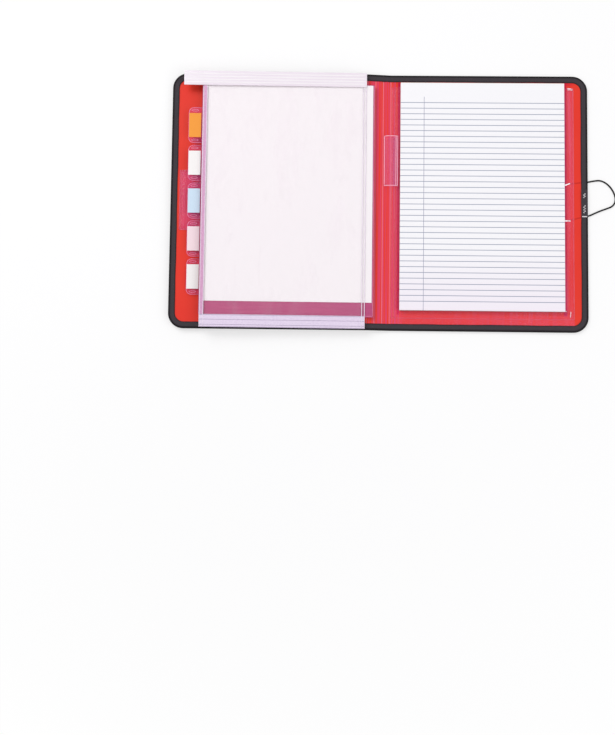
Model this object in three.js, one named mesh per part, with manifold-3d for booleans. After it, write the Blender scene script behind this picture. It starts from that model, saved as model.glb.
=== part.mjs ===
// A plastic padfolio, open flat: two polypropylene covers on a four-crease spine, bound with woven tape.
// Millimetres, X to the right, Y to the top of the pages, Z up. Origin at the middle of the underside.

import * as THREE from "three";
import { mergeVertices } from "three/addons/utils/BufferGeometryUtils.js";
import Module from "manifold-3d";

const wasm = await Module();
wasm.setup();

// The writing pad, which the covers are sized for, and the margins of cover around it.
const PAD_WIDTH = 203.2;
const PAD_HEIGHT = 285.75;
const PAD_LEFT = 12; // from the back crease
const PAD_RIGHT_MARGIN = 30.2;
const PAD_TOP_MARGIN = 11.9;
const PAD_BOTTOM_MARGIN = 25.35;

// Driving dimensions of the folded sheet.
const FOLIO_HEIGHT = PAD_TOP_MARGIN + PAD_HEIGHT + PAD_BOTTOM_MARGIN;
const PANEL_WIDTH = PAD_LEFT + PAD_WIDTH + PAD_RIGHT_MARGIN; // crease to the outer edge of the tape
const STRIP_WIDTH = 9.6; // each of the three strips between the creases
const SHEET_THICKNESS = 0.9;
const CORNER_RADIUS = 19;
const OUTER_FOLD_ANGLE = 18.5; // degrees that an outer crease is bent when the folio is shut
const CREASE_GAP = 0.3;

// The woven tape that is folded over the edges.
const TAPE_THICKNESS = 0.7;
const TAPE_FACE = 8.5;
const TAPE_CLEARANCE = 0.1;
const TAPE_EDGE_GAP = 0.3;
const LAP_LENGTH = 35;
const LAP_THICKNESS = 0.5;

// The elastic: two runs under the back cover, a barb on each end and the free loop at the fore edge.
const CORD_DIAMETER = 2;
const RUN_THICKNESS = 1.5;
const RUN_WIDTH = 2.6;
const HOLE_INSET = 25.5; // from the fore edge
const UPPER_HOLE_Y = 24;
const LOWER_HOLE_Y = -22;
const STEM_RADIUS = 1.3;
const STEM_CLEARANCE = 0.3;
const BARB_LENGTH = 7.6;
const BARB_WIDTH = 1.8;
const BARB_THICKNESS = 1.1;
const LOOP_GAP = 0.3;
const HOOK_CLEARANCE = 0.45; // between the hooked loop and the tape below it
const DISC_CLEARANCE = 0.35; // between the hooked loop and the disc above it
// The free loop's centreline, from the fore edge: outwards, then along Y.
const LOOP_POINTS = [
  [0, 27.5], [4, 28.3], [9, 29.2], [15, 29.6], [21, 27.6], [27, 22.8], [31.5, 16.5], [34.1, 10],
  [34.5, 5], [33, 0.3], [29.5, -3.2], [24, -5.6], [17, -8.2], [10, -11.2], [4, -14], [0, -15.5],
];

// The button that the loop hooks on, riveted to the front cover.
const BUTTON_INSET = 29.9; // from the fore edge
const BUTTON_Y = 4;
const BUTTON_RADIUS = 11.25;
const BUTTON_NECK_RADIUS = 3.2;
const BUTTON_DISC_THICKNESS = 2.5;
const BUTTON_RECESS_RADIUS = 5.4;
const BUTTON_RECESS_DEPTH = 1.1;
const RIVET_RADIUS = 1.5;
const RIVET_HOLE_RADIUS = 1.8;
const RIVET_HEAD_RADIUS = 4.4;
const RIVET_HEAD_HEIGHT = 0.9;
const WASHER_RADIUS = 4.5;
const WASHER_THICKNESS = 0.3;
const RIVET_FLARE_RADIUS = 2.6;
const RIVET_FLARE_HEIGHT = 0.25;

// The pad's layers and its pocket on the back cover.
const FILM_THICKNESS = 0.25;
const BOARD_THICKNESS = 0.8;
const PAPER_THICKNESS = 4.4;
const GUM_THICKNESS = 0.5;
const PAD_LIFT = 0.2; // over the tape, so that the board slides out above it
const LAYER_GAP = 0.3;
const POCKET_LEFT = 1; // from the back crease
const POCKET_RIGHT_MARGIN = 17.2; // from the fore edge
const POCKET_END_MARGIN = 15.4; // from the folio's top and bottom edges
const POCKET_WELD = 5;
const POCKET_RIGHT_WELD = 2;
const POCKET_SIDE_CLEARANCE = 1.2;
const BARB_CLEARANCE = 0.5;

// The pen loop over the back crease.
const PEN_LOOP_HALF_WIDTH = 8.5;
const PEN_LOOP_HALF_HEIGHT = 2.9;
const PEN_LOOP_WALL = 0.35;
const PEN_LOOP_CENTRE_X = 0.5; // from the back crease
const PEN_LOOP_CENTRE_RISE = 4.8; // above the middle of the cover's sheet
const PEN_LOOP_LENGTH = 63.5;
const PEN_LOOP_TOP = 82.5; // height of its upper end on the page
const PEN_LOOP_TAIL = 6;

// The card pocket on the front cover.
const CARD_POCKET_LEFT = 11; // from the fore edge
const CARD_POCKET_WIDTH = 98;
const CARD_POCKET_TOP = 37.5;
const CARD_POCKET_HEIGHT = 76;
const CARD_POCKET_WELD = 3;
const CARD_POCKET_RAMP = 4;

// Five tabbed divider pages, from the top one down, and the zip pouch over them.
const DIVIDER_COUNT = 5;
const DIVIDER_THICKNESS = 0.45;
const DIVIDER_LEFT = 38.5; // from the fore edge
const DIVIDER_MARGIN = 15.5; // from the folio's top and bottom edges
const DIVIDER_CORNER = 3;
const WELD_INSET = 6; // from the front crease to the pages' weld lines
const WELD_BAR_WIDTH = 4;
const SPINE_CLEARANCE = 0.3; // between a page's edge and the strips when the folio is shut
const FIRST_TAB_MARGIN = 46.5; // from the folio's top edge
const LAST_TAB_MARGIN = 40; // from its bottom edge
const TAB_LENGTH = (FOLIO_HEIGHT - FIRST_TAB_MARGIN - LAST_TAB_MARGIN) / DIVIDER_COUNT;
const TAB_GAP = 1.2;
const TAB_REACH = 17; // from the page's edge
const TAB_CORNER = 7;
const LABEL_WIDTH = 15;
const LABEL_INSET = 7.8; // from each end of its tab
const LABEL_EDGE = 1; // from the tab's rounded end
const LABEL_THICKNESS = 0.15;
const FAN_ANGLES = [1.3, 1.05, 0.8, 0.55, 0.3]; // degrees that each page springs up, from the top one down
const POUCH_FAN_ANGLE = 1.6;
const INSERT_LEFT = 3; // margins of the blank sheet inside its page
const INSERT_RIGHT = 1.9;
const INSERT_TOP = 1;
const INSERT_BOTTOM = 18;
const INSERT_THICKNESS = 0.15;
const POUCH_LEFT = 39.4; // from the fore edge
const POUCH_RIGHT_INSET = 2; // from the front crease
const POUCH_BOTTOM_MARGIN = 0.8;
const ZIP_LEFT = 15.6; // from the fore edge
const ZIP_TOP_MARGIN = 1;
const ZIP_HEIGHT = 18;
const ZIP_TRACK_THICKNESS = 0.3;
const ZIP_RIB_HEIGHT = 0.15;
const ZIP_RIB_WIDTH = 1.2;
const ZIP_RIB_COUNT = 4;

// Colours.
const RED = "#e92934";
const RED_FILM = "#e04b69";
const TAPE_COLOUR = "#3a3639";
const BLACK = "#1d1b1d";
const METAL = "#c9cbd0";
const CLEAR_FILM = "#f1e9f5";
const PAPER = "#f7f6f4";
const BOARD = "#b9aa94";
const GUM = "#e9e4da";
const TAB_COLOURS = ["#f39b3c", "#f6f4f3", "#cde1f3", "#f4dde3", "#f6f4f3"];

// Levels and places that follow from the dimensions.
const radians = THREE.MathUtils.degToRad;
const half = SHEET_THICKNESS / 2;
const tapeRise = half + TAPE_CLEARANCE + TAPE_THICKNESS; // from a sheet's middle to the tape's face
const innerFoldAngle = 90 - OUTER_FOLD_ANGLE;
const backMid = RUN_THICKNESS + tapeRise;
const shutDistance = STRIP_WIDTH * (1 + 2 * Math.sin(radians(OUTER_FOLD_ANGLE)));
const cordRadius = CORD_DIAMETER / 2;
const shutFrontFace = backMid + shutDistance + half;
const hookLevel = backMid + shutDistance + tapeRise + HOOK_CLEARANCE + cordRadius;
const loopAxisLevel = (cordRadius + hookLevel) / 2;
const neckHeight = hookLevel + cordRadius + DISC_CLEARANCE - shutFrontFace;
const buttonHeight = neckHeight + BUTTON_DISC_THICKNESS;
const frontMid = buttonHeight + half;
const restSlope = Math.asin((frontMid - backMid) / (3 * STRIP_WIDTH));
const openWidth = 2 * PANEL_WIDTH + 3 * STRIP_WIDTH * Math.cos(restSlope);
const foreEdge = openWidth / 2;
const backCrease = foreEdge - PANEL_WIDTH;
const frontCrease = PANEL_WIDTH - foreEdge;
const topEdge = FOLIO_HEIGHT / 2;

const model = new THREE.Group();

function finish(colour, roughness = 0.5, metalness = 0, opacity = 1) {
  const transparent = opacity < 1;
  return new THREE.MeshStandardMaterial({ color: colour, roughness, metalness, opacity, transparent });
}

const plastic = () => finish(RED, 0.4);
const tape = () => finish(TAPE_COLOUR, 0.9);
const metal = () => finish(METAL, 0.25, 1);
const clearFilm = () => finish(CLEAR_FILM, 0.15, 0, 0.5);

function addPiece(name, geometry, material, parent = model) {
  const mesh = new THREE.Mesh(geometry, material);
  mesh.name = name;
  parent.add(mesh);
  return mesh;
}

// A group turned about a line along Y at (x, z), whose pieces are made in place before the turn.
function turnedAbout(x, z, angle) {
  const pivot = new THREE.Group();
  pivot.position.set(x, 0, z);
  pivot.rotation.y = angle;
  const inner = new THREE.Group();
  inner.position.set(-x, 0, -z);
  pivot.add(inner);
  model.add(pivot);
  return inner;
}

function shapeOf(points) {
  return new THREE.Shape(points.map(([x, y]) => new THREE.Vector2(x, y)));
}

function extruded(shape, depth, curveSegments = 8) {
  return new THREE.ExtrudeGeometry(shape, { depth, curveSegments, bevelEnabled: false });
}

// A shape in plan, from one level to another.
function slab(shape, low, high, curveSegments) {
  return extruded(shape, high - low, curveSegments).translate(0, 0, low);
}

// A section in X and Z, drawn out along Y.
function alongY(shape, low, high, curveSegments) {
  return extruded(shape, high - low, curveSegments).rotateX(Math.PI / 2).translate(0, high, 0);
}

// A section in Y and Z, drawn out along X.
function alongX(shape, low, high) {
  return extruded(shape, high - low).rotateX(Math.PI / 2).rotateZ(Math.PI / 2).translate(low, 0, 0);
}

function rectangle(left, bottom, right, top) {
  return shapeOf([[left, bottom], [right, bottom], [right, top], [left, top]]);
}

function solidOf(geometry) {
  const plain = geometry.clone();
  plain.deleteAttribute("normal");
  plain.deleteAttribute("uv");
  const merged = mergeVertices(plain, 1e-4);
  const vertProperties = new Float32Array(merged.attributes.position.array);
  const triVerts = new Uint32Array(merged.index.array);
  return new wasm.Manifold(new wasm.Mesh({ numProp: 3, vertProperties, triVerts }));
}

function geometryOf(solid) {
  const mesh = solid.getMesh();
  const geometry = new THREE.BufferGeometry();
  geometry.setAttribute("position", new THREE.BufferAttribute(new Float32Array(mesh.vertProperties), 3));
  geometry.setIndex(new THREE.BufferAttribute(new Uint32Array(mesh.triVerts), 1));
  geometry.computeVertexNormals();
  return geometry;
}

const cut = (body, ...tools) => geometryOf(tools.reduce((rest, t) => rest.subtract(solidOf(t)), solidOf(body)));
const joined = (...parts) => geometryOf(parts.map(solidOf).reduce((all, part) => all.add(part)));
const common = (one, other) => geometryOf(solidOf(one).intersect(solidOf(other)));

// A cover's outline from its crease to its rounded fore edge. side is 1 for the back, -1 for the front.
function coverOutline(side, inset, creaseOverrun = 0) {
  const crease = side * (backCrease - creaseOverrun);
  const edge = side * (foreEdge - inset);
  const top = topEdge - inset;
  const radius = CORNER_RADIUS - inset;
  const shape = new THREE.Shape();
  shape.moveTo(crease, -top);
  shape.lineTo(edge - side * radius, -top);
  const [start, end] = side > 0 ? [-Math.PI / 2, 0] : [-Math.PI / 2, -Math.PI];
  shape.absarc(edge - side * radius, -top + radius, radius, start, end, side < 0);
  const [start2, end2] = side > 0 ? [0, Math.PI / 2] : [Math.PI, Math.PI / 2];
  shape.absarc(edge - side * radius, top - radius, radius, start2, end2, side < 0);
  shape.lineTo(crease, top);
  return shape;
}

// The room that a piece has between two creases: straight below the sheet's middle, and sloped above it
// by half of each crease's shut angle, so that the V of each score closes when the folio is shut.
function betweenCreases(left, right, leftAngle, rightAngle, mid) {
  const reach = 4;
  const from = left + CREASE_GAP / 2;
  const to = right - CREASE_GAP / 2;
  const lean = (angle) => reach * Math.tan(radians(angle / 2));
  const section = shapeOf([
    [from, mid - reach], [to, mid - reach], [to, mid],
    [to - lean(rightAngle), mid + reach], [from + lean(leftAngle), mid + reach], [from, mid],
  ]);
  return alongY(section, -topEdge - 1, topEdge + 1);
}

// One cover's sheet and the tape folded over its three outer edges.
function coverSheet(side, mid, ...holes) {
  const outline = coverOutline(side, TAPE_THICKNESS + TAPE_EDGE_GAP);
  const sheet = slab(outline, mid - half, mid + half);
  const room = side > 0
    ? betweenCreases(backCrease, foreEdge, OUTER_FOLD_ANGLE, 0, mid)
    : betweenCreases(-foreEdge, frontCrease, 0, OUTER_FOLD_ANGLE, mid);
  return cut(common(sheet, room), ...holes);
}

function coverBinding(side, mid) {
  const whole = slab(coverOutline(side, 0), mid - tapeRise, mid + tapeRise);
  const middle = slab(coverOutline(side, TAPE_FACE, 1), mid - 2 * tapeRise, mid + 2 * tapeRise);
  const slotRise = half + TAPE_CLEARANCE;
  const slot = slab(coverOutline(side, TAPE_THICKNESS, 1), mid - slotRise, mid + slotRise);
  const room = side > 0
    ? betweenCreases(backCrease, foreEdge + 1, OUTER_FOLD_ANGLE, 0, mid)
    : betweenCreases(-foreEdge - 1, frontCrease, 0, OUTER_FOLD_ANGLE, mid);
  return common(cut(whole, middle, slot), room);
}

// The tape over one end of a strip, a U in section that opens towards the middle of the page.
function stripTape(left, right, mid, end) {
  const outer = end * topEdge;
  const inner = end * (topEdge - TAPE_FACE);
  const wall = end * (topEdge - TAPE_THICKNESS);
  const slot = half + TAPE_CLEARANCE;
  const section = shapeOf([
    [inner, mid - tapeRise], [outer, mid - tapeRise], [outer, mid + tapeRise], [inner, mid + tapeRise],
    [inner, mid + slot], [wall, mid + slot], [wall, mid - slot], [inner, mid - slot],
  ]);
  return alongX(section, left, right);
}

// The three strips are drawn flat from the back crease and turned up to the slope that they rest at.
function addStrip(name, index, leftAngle, rightAngle) {
  const right = backCrease - index * STRIP_WIDTH;
  const left = right - STRIP_WIDTH;
  const room = betweenCreases(left, right, leftAngle, rightAngle, backMid);
  const group = turnedAbout(backCrease, backMid, restSlope);
  const end = topEdge - TAPE_THICKNESS - TAPE_EDGE_GAP;
  const strip = slab(rectangle(left, -end, right, end), backMid - half, backMid + half);
  addPiece(name + "_strip", common(strip, room), plastic(), group);
  for (const [where, sign] of [["top", 1], ["bottom", -1]]) {
    const piece = common(stripTape(left, right, backMid, sign), room);
    addPiece(name + "_tape_" + where, piece, tape(), group);
  }
}

function disc(x, y, radius, low, high, sides = 16) {
  return new THREE.CylinderGeometry(radius, radius, high - low, sides)
    .rotateX(Math.PI / 2)
    .translate(x, y, (low + high) / 2);
}

// Back cover with its tape, the elastic's runs and barbs.
const holeX = foreEdge - HOLE_INSET;
const holeRadius = STEM_RADIUS + STEM_CLEARANCE;
const cordEnds = [
  ["upper", UPPER_HOLE_Y, LOOP_POINTS[0][1]],
  ["lower", LOWER_HOLE_Y, LOOP_POINTS.at(-1)[1]],
];
const cordHoles = cordEnds.map(([, y]) => disc(holeX, y, holeRadius, 0, 2 * backMid));
addPiece("back_cover", coverSheet(1, backMid, ...cordHoles), plastic());
addPiece("back_binding", coverBinding(1, backMid), tape());
const lapTop = backMid + tapeRise + LAP_THICKNESS;
const lap = rectangle(foreEdge - TAPE_FACE, -LAP_LENGTH / 2, foreEdge - LAP_THICKNESS, LAP_LENGTH / 2);
addPiece("tape_lap", slab(lap, backMid + tapeRise, lapTop), tape());

for (const [name, holeY, edgeY] of cordEnds) {
  const side = RUN_WIDTH / 2;
  const plan = shapeOf([
    [holeX - side, holeY - side], [holeX, holeY - side], [foreEdge, edgeY - side],
    [foreEdge, edgeY + side], [holeX, holeY + side], [holeX - side, holeY + side],
  ]);
  const stem = disc(holeX, holeY, STEM_RADIUS, RUN_THICKNESS / 2, backMid + half, 12);
  addPiece("elastic_run_" + name, joined(slab(plan, 0, RUN_THICKNESS), stem), finish(BLACK, 0.8));
  const section = shapeOf([
    [-BARB_WIDTH / 2, 0], [BARB_WIDTH / 2, 0], [BARB_WIDTH / 2, BARB_THICKNESS / 2],
    [BARB_WIDTH / 4, BARB_THICKNESS], [-BARB_WIDTH / 4, BARB_THICKNESS], [-BARB_WIDTH / 2, BARB_THICKNESS / 2],
  ]);
  const bar = alongX(section, holeX - BARB_LENGTH / 2, holeX + BARB_LENGTH / 2);
  addPiece("barb_" + name, bar.translate(0, holeY, backMid + half), metal());
}

// The free loop of the elastic, flat on the table beside the fore edge.
const loopCurve = new THREE.CatmullRomCurve3(
  LOOP_POINTS.map(([out, y], i) => {
    const clear = i === 0 || i === LOOP_POINTS.length - 1 ? LOOP_GAP : 0;
    return new THREE.Vector3(foreEdge + out + clear, y, cordRadius);
  }),
  false,
  "centripetal",
);
const cordSection = new THREE.Shape();
cordSection.absarc(0, 0, cordRadius, 0, 2 * Math.PI);
const loopTube = new THREE.ExtrudeGeometry(cordSection, {
  extrudePath: loopCurve, steps: 48, curveSegments: 8, bevelEnabled: false,
});
addPiece("elastic_loop", loopTube, finish(BLACK, 0.8));

// Pad pocket: a film that rises from its side welds over the board, with a welded foot below the pad.
const boardLow = backMid + tapeRise + PAD_LIFT;
const boardHigh = boardLow + BOARD_THICKNESS;
const pocketLow = boardHigh + LAYER_GAP;
const padLeft = backCrease + PAD_LEFT;
const padRight = padLeft + PAD_WIDTH;
const padTop = topEdge - PAD_TOP_MARGIN;
const padBottom = padTop - PAD_HEIGHT;
const backFace = backMid + half;

// A film's section: down on its two welds, up over what the pocket holds.
function pocketSection(left, weldLeft, riseLeft, riseRight, weldRight, right, face, lift) {
  const t = FILM_THICKNESS;
  return shapeOf([
    [left, face], [weldLeft, face], [riseLeft, face + lift], [riseRight, face + lift],
    [weldRight, face], [right, face], [right, face + t], [weldRight, face + t],
    [riseRight, face + lift + t], [riseLeft, face + lift + t], [weldLeft, face + t], [left, face + t],
  ]);
}

const pocketLeft = backCrease + POCKET_LEFT;
const pocketRight = foreEdge - POCKET_RIGHT_MARGIN;
const pocketTop = topEdge - POCKET_END_MARGIN;
const pocketRiseLeft = padLeft - POCKET_SIDE_CLEARANCE;
const pocketRiseRight = holeX + BARB_LENGTH / 2 + BARB_CLEARANCE;
const pocketSide = pocketSection(
  pocketLeft, pocketLeft + POCKET_WELD, pocketRiseLeft, pocketRiseRight,
  pocketRight - POCKET_RIGHT_WELD, pocketRight, backFace, pocketLow - backFace,
);
const pocketFoot = alongY(
  shapeOf([
    [pocketLeft + POCKET_WELD, backFace], [pocketRight - POCKET_RIGHT_WELD, backFace],
    [pocketRiseRight, pocketLow + FILM_THICKNESS / 2],
    [pocketRiseLeft, pocketLow + FILM_THICKNESS / 2],
  ]),
  -pocketTop,
  -pocketTop + POCKET_WELD,
);
const pocketFilm = alongY(pocketSide, -pocketTop, pocketTop);
addPiece("pad_pocket", joined(pocketFilm, pocketFoot), finish(RED_FILM, 0.2, 0, 0.6));

// Pen loop: an oval sleeve of film over the crease, with a tail on the pocket's left weld.
const penX = backCrease + PEN_LOOP_CENTRE_X;
const penZ = backMid + PEN_LOOP_CENTRE_RISE;
const penSection = new THREE.Shape();
penSection.absellipse(penX, penZ, PEN_LOOP_HALF_WIDTH, PEN_LOOP_HALF_HEIGHT, 0, 2 * Math.PI);
const penBore = new THREE.Shape();
penBore.absellipse(
  penX, penZ, PEN_LOOP_HALF_WIDTH - PEN_LOOP_WALL, PEN_LOOP_HALF_HEIGHT - PEN_LOOP_WALL, 0, 2 * Math.PI,
);
const penBottom = PEN_LOOP_TOP - PEN_LOOP_LENGTH;
const tailLow = backFace + FILM_THICKNESS + LAYER_GAP;
const tailHigh = penZ - PEN_LOOP_HALF_HEIGHT + PEN_LOOP_WALL;
const penTail = alongY(
  rectangle(pocketLeft, tailLow, pocketLeft + PEN_LOOP_TAIL - CREASE_GAP, tailHigh),
  penBottom,
  PEN_LOOP_TOP,
);
const penSleeve = joined(alongY(penSection, penBottom, PEN_LOOP_TOP, 14), penTail);
const penHollow = alongY(penBore, penBottom - 1, PEN_LOOP_TOP + 1, 14);
addPiece("pen_loop", cut(penSleeve, penHollow), finish(RED_FILM, 0.2, 0, 0.6));

// The pad: board behind the film, paper in front of it, and gum along the head that joins them.
const paperLow = pocketLow + FILM_THICKNESS + LAYER_GAP;
const paperHigh = paperLow + PAPER_THICKNESS;
addPiece("pad_board", slab(rectangle(padLeft, padBottom, padRight, padTop), boardLow, boardHigh), finish(BOARD, 0.9));
addPiece("pad_paper", slab(rectangle(padLeft, padBottom, padRight, padTop), paperLow, paperHigh), finish(PAPER, 0.9));
const gum = slab(rectangle(padLeft, padTop, padRight, padTop + GUM_THICKNESS), boardLow, paperHigh);
addPiece("pad_gum", gum, finish(GUM, 0.7));

// Spine and hinge strips.
addStrip("back_hinge", 0, innerFoldAngle, OUTER_FOLD_ANGLE);
addStrip("spine", 1, innerFoldAngle, innerFoldAngle);
addStrip("front_hinge", 2, OUTER_FOLD_ANGLE, innerFoldAngle);

// Front cover with its tape, button, rivet and card pocket.
const buttonX = BUTTON_INSET - foreEdge;
const frontFace = frontMid + half;
const frontUnder = frontMid - half;
const rivetHole = disc(buttonX, BUTTON_Y, RIVET_HOLE_RADIUS, frontUnder - 1, frontFace + 1);
addPiece("front_cover", coverSheet(-1, frontMid, rivetHole), plastic());
addPiece("front_binding", coverBinding(-1, frontMid), tape());

// A turned piece on the button's axis. Its profile is given as radius and level above the cover's underside.
function turnedOnButton(profile, segments = 32) {
  const points = profile.map(([radius, level]) => new THREE.Vector2(radius, level));
  return new THREE.LatheGeometry([...points, points[0].clone()], segments)
    .rotateX(Math.PI / 2)
    .translate(buttonX, BUTTON_Y, frontUnder);
}

const recessFloor = BUTTON_RECESS_DEPTH - buttonHeight;
addPiece(
  "button_disc",
  turnedOnButton([
    [RIVET_HOLE_RADIUS, recessFloor], [BUTTON_RECESS_RADIUS - 0.6, recessFloor],
    [BUTTON_RECESS_RADIUS, -buttonHeight], [BUTTON_RADIUS - 1, -buttonHeight],
    [BUTTON_RADIUS, -buttonHeight + 0.8], [BUTTON_RADIUS, -neckHeight - 0.4],
    [BUTTON_RADIUS - 0.4, -neckHeight], [BUTTON_NECK_RADIUS, -neckHeight],
    [BUTTON_NECK_RADIUS, 0], [RIVET_HOLE_RADIUS, 0],
  ]),
  finish(BLACK, 0.35),
);
const flareLow = SHEET_THICKNESS + WASHER_THICKNESS;
const flareHigh = flareLow + RIVET_FLARE_HEIGHT;
const headLow = recessFloor - RIVET_HEAD_HEIGHT;
addPiece(
  "button_rivet",
  turnedOnButton([
    [0, headLow], [RIVET_HEAD_RADIUS * 0.6, headLow], [RIVET_HEAD_RADIUS, recessFloor - 0.3],
    [RIVET_HEAD_RADIUS, recessFloor], [RIVET_RADIUS, recessFloor], [RIVET_RADIUS, flareLow],
    [RIVET_FLARE_RADIUS, flareLow], [RIVET_FLARE_RADIUS - 0.3, flareHigh], [0, flareHigh],
  ], 20),
  metal(),
);
addPiece(
  "rivet_washer",
  turnedOnButton([
    [RIVET_HOLE_RADIUS, SHEET_THICKNESS], [WASHER_RADIUS, SHEET_THICKNESS],
    [WASHER_RADIUS, flareLow], [RIVET_HOLE_RADIUS, flareLow],
  ], 24),
  metal(),
);

const rivetRise = WASHER_THICKNESS + RIVET_FLARE_HEIGHT;
const cardLift = rivetRise + LAYER_GAP - 0.05;
const cardLeft = CARD_POCKET_LEFT - foreEdge;
const cardRight = cardLeft + CARD_POCKET_WIDTH;
const cardSection = pocketSection(
  cardLeft, cardLeft + CARD_POCKET_WELD, cardLeft + CARD_POCKET_WELD + CARD_POCKET_RAMP,
  cardRight - CARD_POCKET_WELD - CARD_POCKET_RAMP, cardRight - CARD_POCKET_WELD, cardRight,
  frontFace, cardLift,
);
const cardPocket = alongY(cardSection, CARD_POCKET_TOP - CARD_POCKET_HEIGHT, CARD_POCKET_TOP);
addPiece("card_pocket", cardPocket, clearFilm());

// A page's outline: a rounded rectangle with one tab on its fore edge.
function dividerOutline(left, right, bottom, top, tabTop) {
  const shape = new THREE.Shape();
  const r = DIVIDER_CORNER;
  const tabBottom = tabTop - TAB_LENGTH + TAB_GAP;
  const tip = left - TAB_REACH;
  shape.moveTo(right, bottom);
  shape.lineTo(right, top);
  shape.lineTo(left + r, top);
  shape.absarc(left + r, top - r, r, Math.PI / 2, Math.PI);
  shape.lineTo(left, tabTop);
  shape.absarc(tip + TAB_CORNER, tabTop - TAB_CORNER, TAB_CORNER, Math.PI / 2, Math.PI);
  shape.absarc(tip + TAB_CORNER, tabBottom + TAB_CORNER, TAB_CORNER, Math.PI, 1.5 * Math.PI);
  shape.lineTo(left, tabBottom);
  shape.lineTo(left, bottom + r);
  shape.absarc(left + r, bottom + r, r, Math.PI, 1.5 * Math.PI);
  return shape;
}

// The pages rest on one another from the card pocket up, each welded along a line near the front crease.
const weldX = frontCrease - WELD_INSET;
const pageLeft = DIVIDER_LEFT - foreEdge;
const pageEnd = topEdge - DIVIDER_MARGIN;
const pagePitch = DIVIDER_THICKNESS + LAYER_GAP;
const lowestPage = cardLift + FILM_THICKNESS + LAYER_GAP;
const spineWall = STRIP_WIDTH * Math.cos(radians(OUTER_FOLD_ANGLE)) - half - SPINE_CLEARANCE;

// The bar that the stack of pages is welded on.
const weldBarTop = frontFace + lowestPage - LAYER_GAP;
const weldBar = rectangle(weldX - WELD_BAR_WIDTH / 2, -pageEnd, weldX + WELD_BAR_WIDTH / 2, pageEnd);
addPiece("page_weld_bar", slab(weldBar, frontFace, weldBarTop), plastic());

// How far past the crease a page at this height over the cover may reach, clear of the shut strip below it.
function pageOverhang(height) {
  const ramp = (height - SPINE_CLEARANCE) / Math.tan(radians(OUTER_FOLD_ANGLE));
  return Math.min(ramp - SPINE_CLEARANCE, spineWall - SPINE_CLEARANCE);
}

const pageHinges = [];
for (let i = DIVIDER_COUNT - 1; i >= 0; i--) {
  const height = lowestPage + (DIVIDER_COUNT - 1 - i) * pagePitch;
  const low = frontFace + height;
  const high = low + DIVIDER_THICKNESS;
  const group = turnedAbout(weldX, low, radians(FAN_ANGLES[i]));
  const tabTop = topEdge - FIRST_TAB_MARGIN - i * TAB_LENGTH;
  const right = frontCrease + pageOverhang(height);
  const outline = dividerOutline(pageLeft, right, -pageEnd, pageEnd, tabTop);
  addPiece("divider_" + (i + 1), slab(outline, low, high, 5), finish(CLEAR_FILM, 0.3, 0, 0.8), group);
  const labelLeft = pageLeft - TAB_REACH + LABEL_EDGE;
  const labelTop = tabTop - LABEL_INSET;
  const labelBottom = tabTop - TAB_LENGTH + TAB_GAP + LABEL_INSET;
  const label = rectangle(labelLeft, labelBottom, labelLeft + LABEL_WIDTH, labelTop);
  const labelLow = high + LAYER_GAP;
  addPiece("tab_label_" + (i + 1), slab(label, labelLow, labelLow + LABEL_THICKNESS), finish(TAB_COLOURS[i], 0.7), group);
  pageHinges.push(["divider_" + (i + 1), low, FAN_ANGLES[i]]);
  if (i === 0) {
    const sheet = rectangle(
      pageLeft + INSERT_LEFT, -pageEnd + INSERT_BOTTOM, right - INSERT_RIGHT, pageEnd - INSERT_TOP,
    );
    const insertLow = high + LAYER_GAP;
    addPiece("insert_sheet", slab(sheet, insertLow, insertLow + INSERT_THICKNESS), finish(PAPER, 0.8), group);
  }
}

// The zip pouch: a back film, a front film below the zip, and the two halves of the zip.
const topPage = lowestPage + DIVIDER_COUNT * pagePitch;
const pouchHeight = topPage + INSERT_THICKNESS + LAYER_GAP;
const pouchLow = frontFace + pouchHeight;
const pouch = turnedAbout(weldX, pouchLow, radians(POUCH_FAN_ANGLE));
const pouchLeft = POUCH_LEFT - foreEdge;
const pouchRight = frontCrease - POUCH_RIGHT_INSET;
const pouchBottom = POUCH_BOTTOM_MARGIN - topEdge;
const zipTop = topEdge - ZIP_TOP_MARGIN;
const zipBottom = zipTop - ZIP_HEIGHT;
const zipLeft = ZIP_LEFT - foreEdge;
const pouchHigh = pouchLow + FILM_THICKNESS;
const backFilm = shapeOf([
  [zipLeft, zipTop], [zipLeft, zipBottom], [pouchLeft, zipBottom],
  [pouchLeft, pouchBottom], [pouchRight, pouchBottom], [pouchRight, zipTop],
]);
addPiece("pouch_back_film", slab(backFilm, pouchLow, pouchHigh), clearFilm(), pouch);
const frontFilmLow = pouchHigh + LAYER_GAP;
const frontFilm = rectangle(pouchLeft, pouchBottom, pouchRight, zipBottom - CREASE_GAP);
addPiece("pouch_front_film", slab(frontFilm, frontFilmLow, frontFilmLow + FILM_THICKNESS), clearFilm(), pouch);

// A zip half in section: a flat track with ribs on its upper face.
function zipSection(low, ribHeight) {
  const high = low + ZIP_TRACK_THICKNESS;
  const points = [[zipBottom, low], [zipTop, low], [zipTop, high]];
  const pitch = ZIP_HEIGHT / (ZIP_RIB_COUNT + 1);
  for (let rib = ZIP_RIB_COUNT; rib >= 1; rib--) {
    const middle = zipBottom + rib * pitch;
    points.push([middle + ZIP_RIB_WIDTH / 2, high], [middle + ZIP_RIB_WIDTH / 4, high + ribHeight]);
    points.push([middle - ZIP_RIB_WIDTH / 4, high + ribHeight], [middle - ZIP_RIB_WIDTH / 2, high]);
  }
  points.push([zipBottom, high]);
  return shapeOf(points);
}

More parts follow.
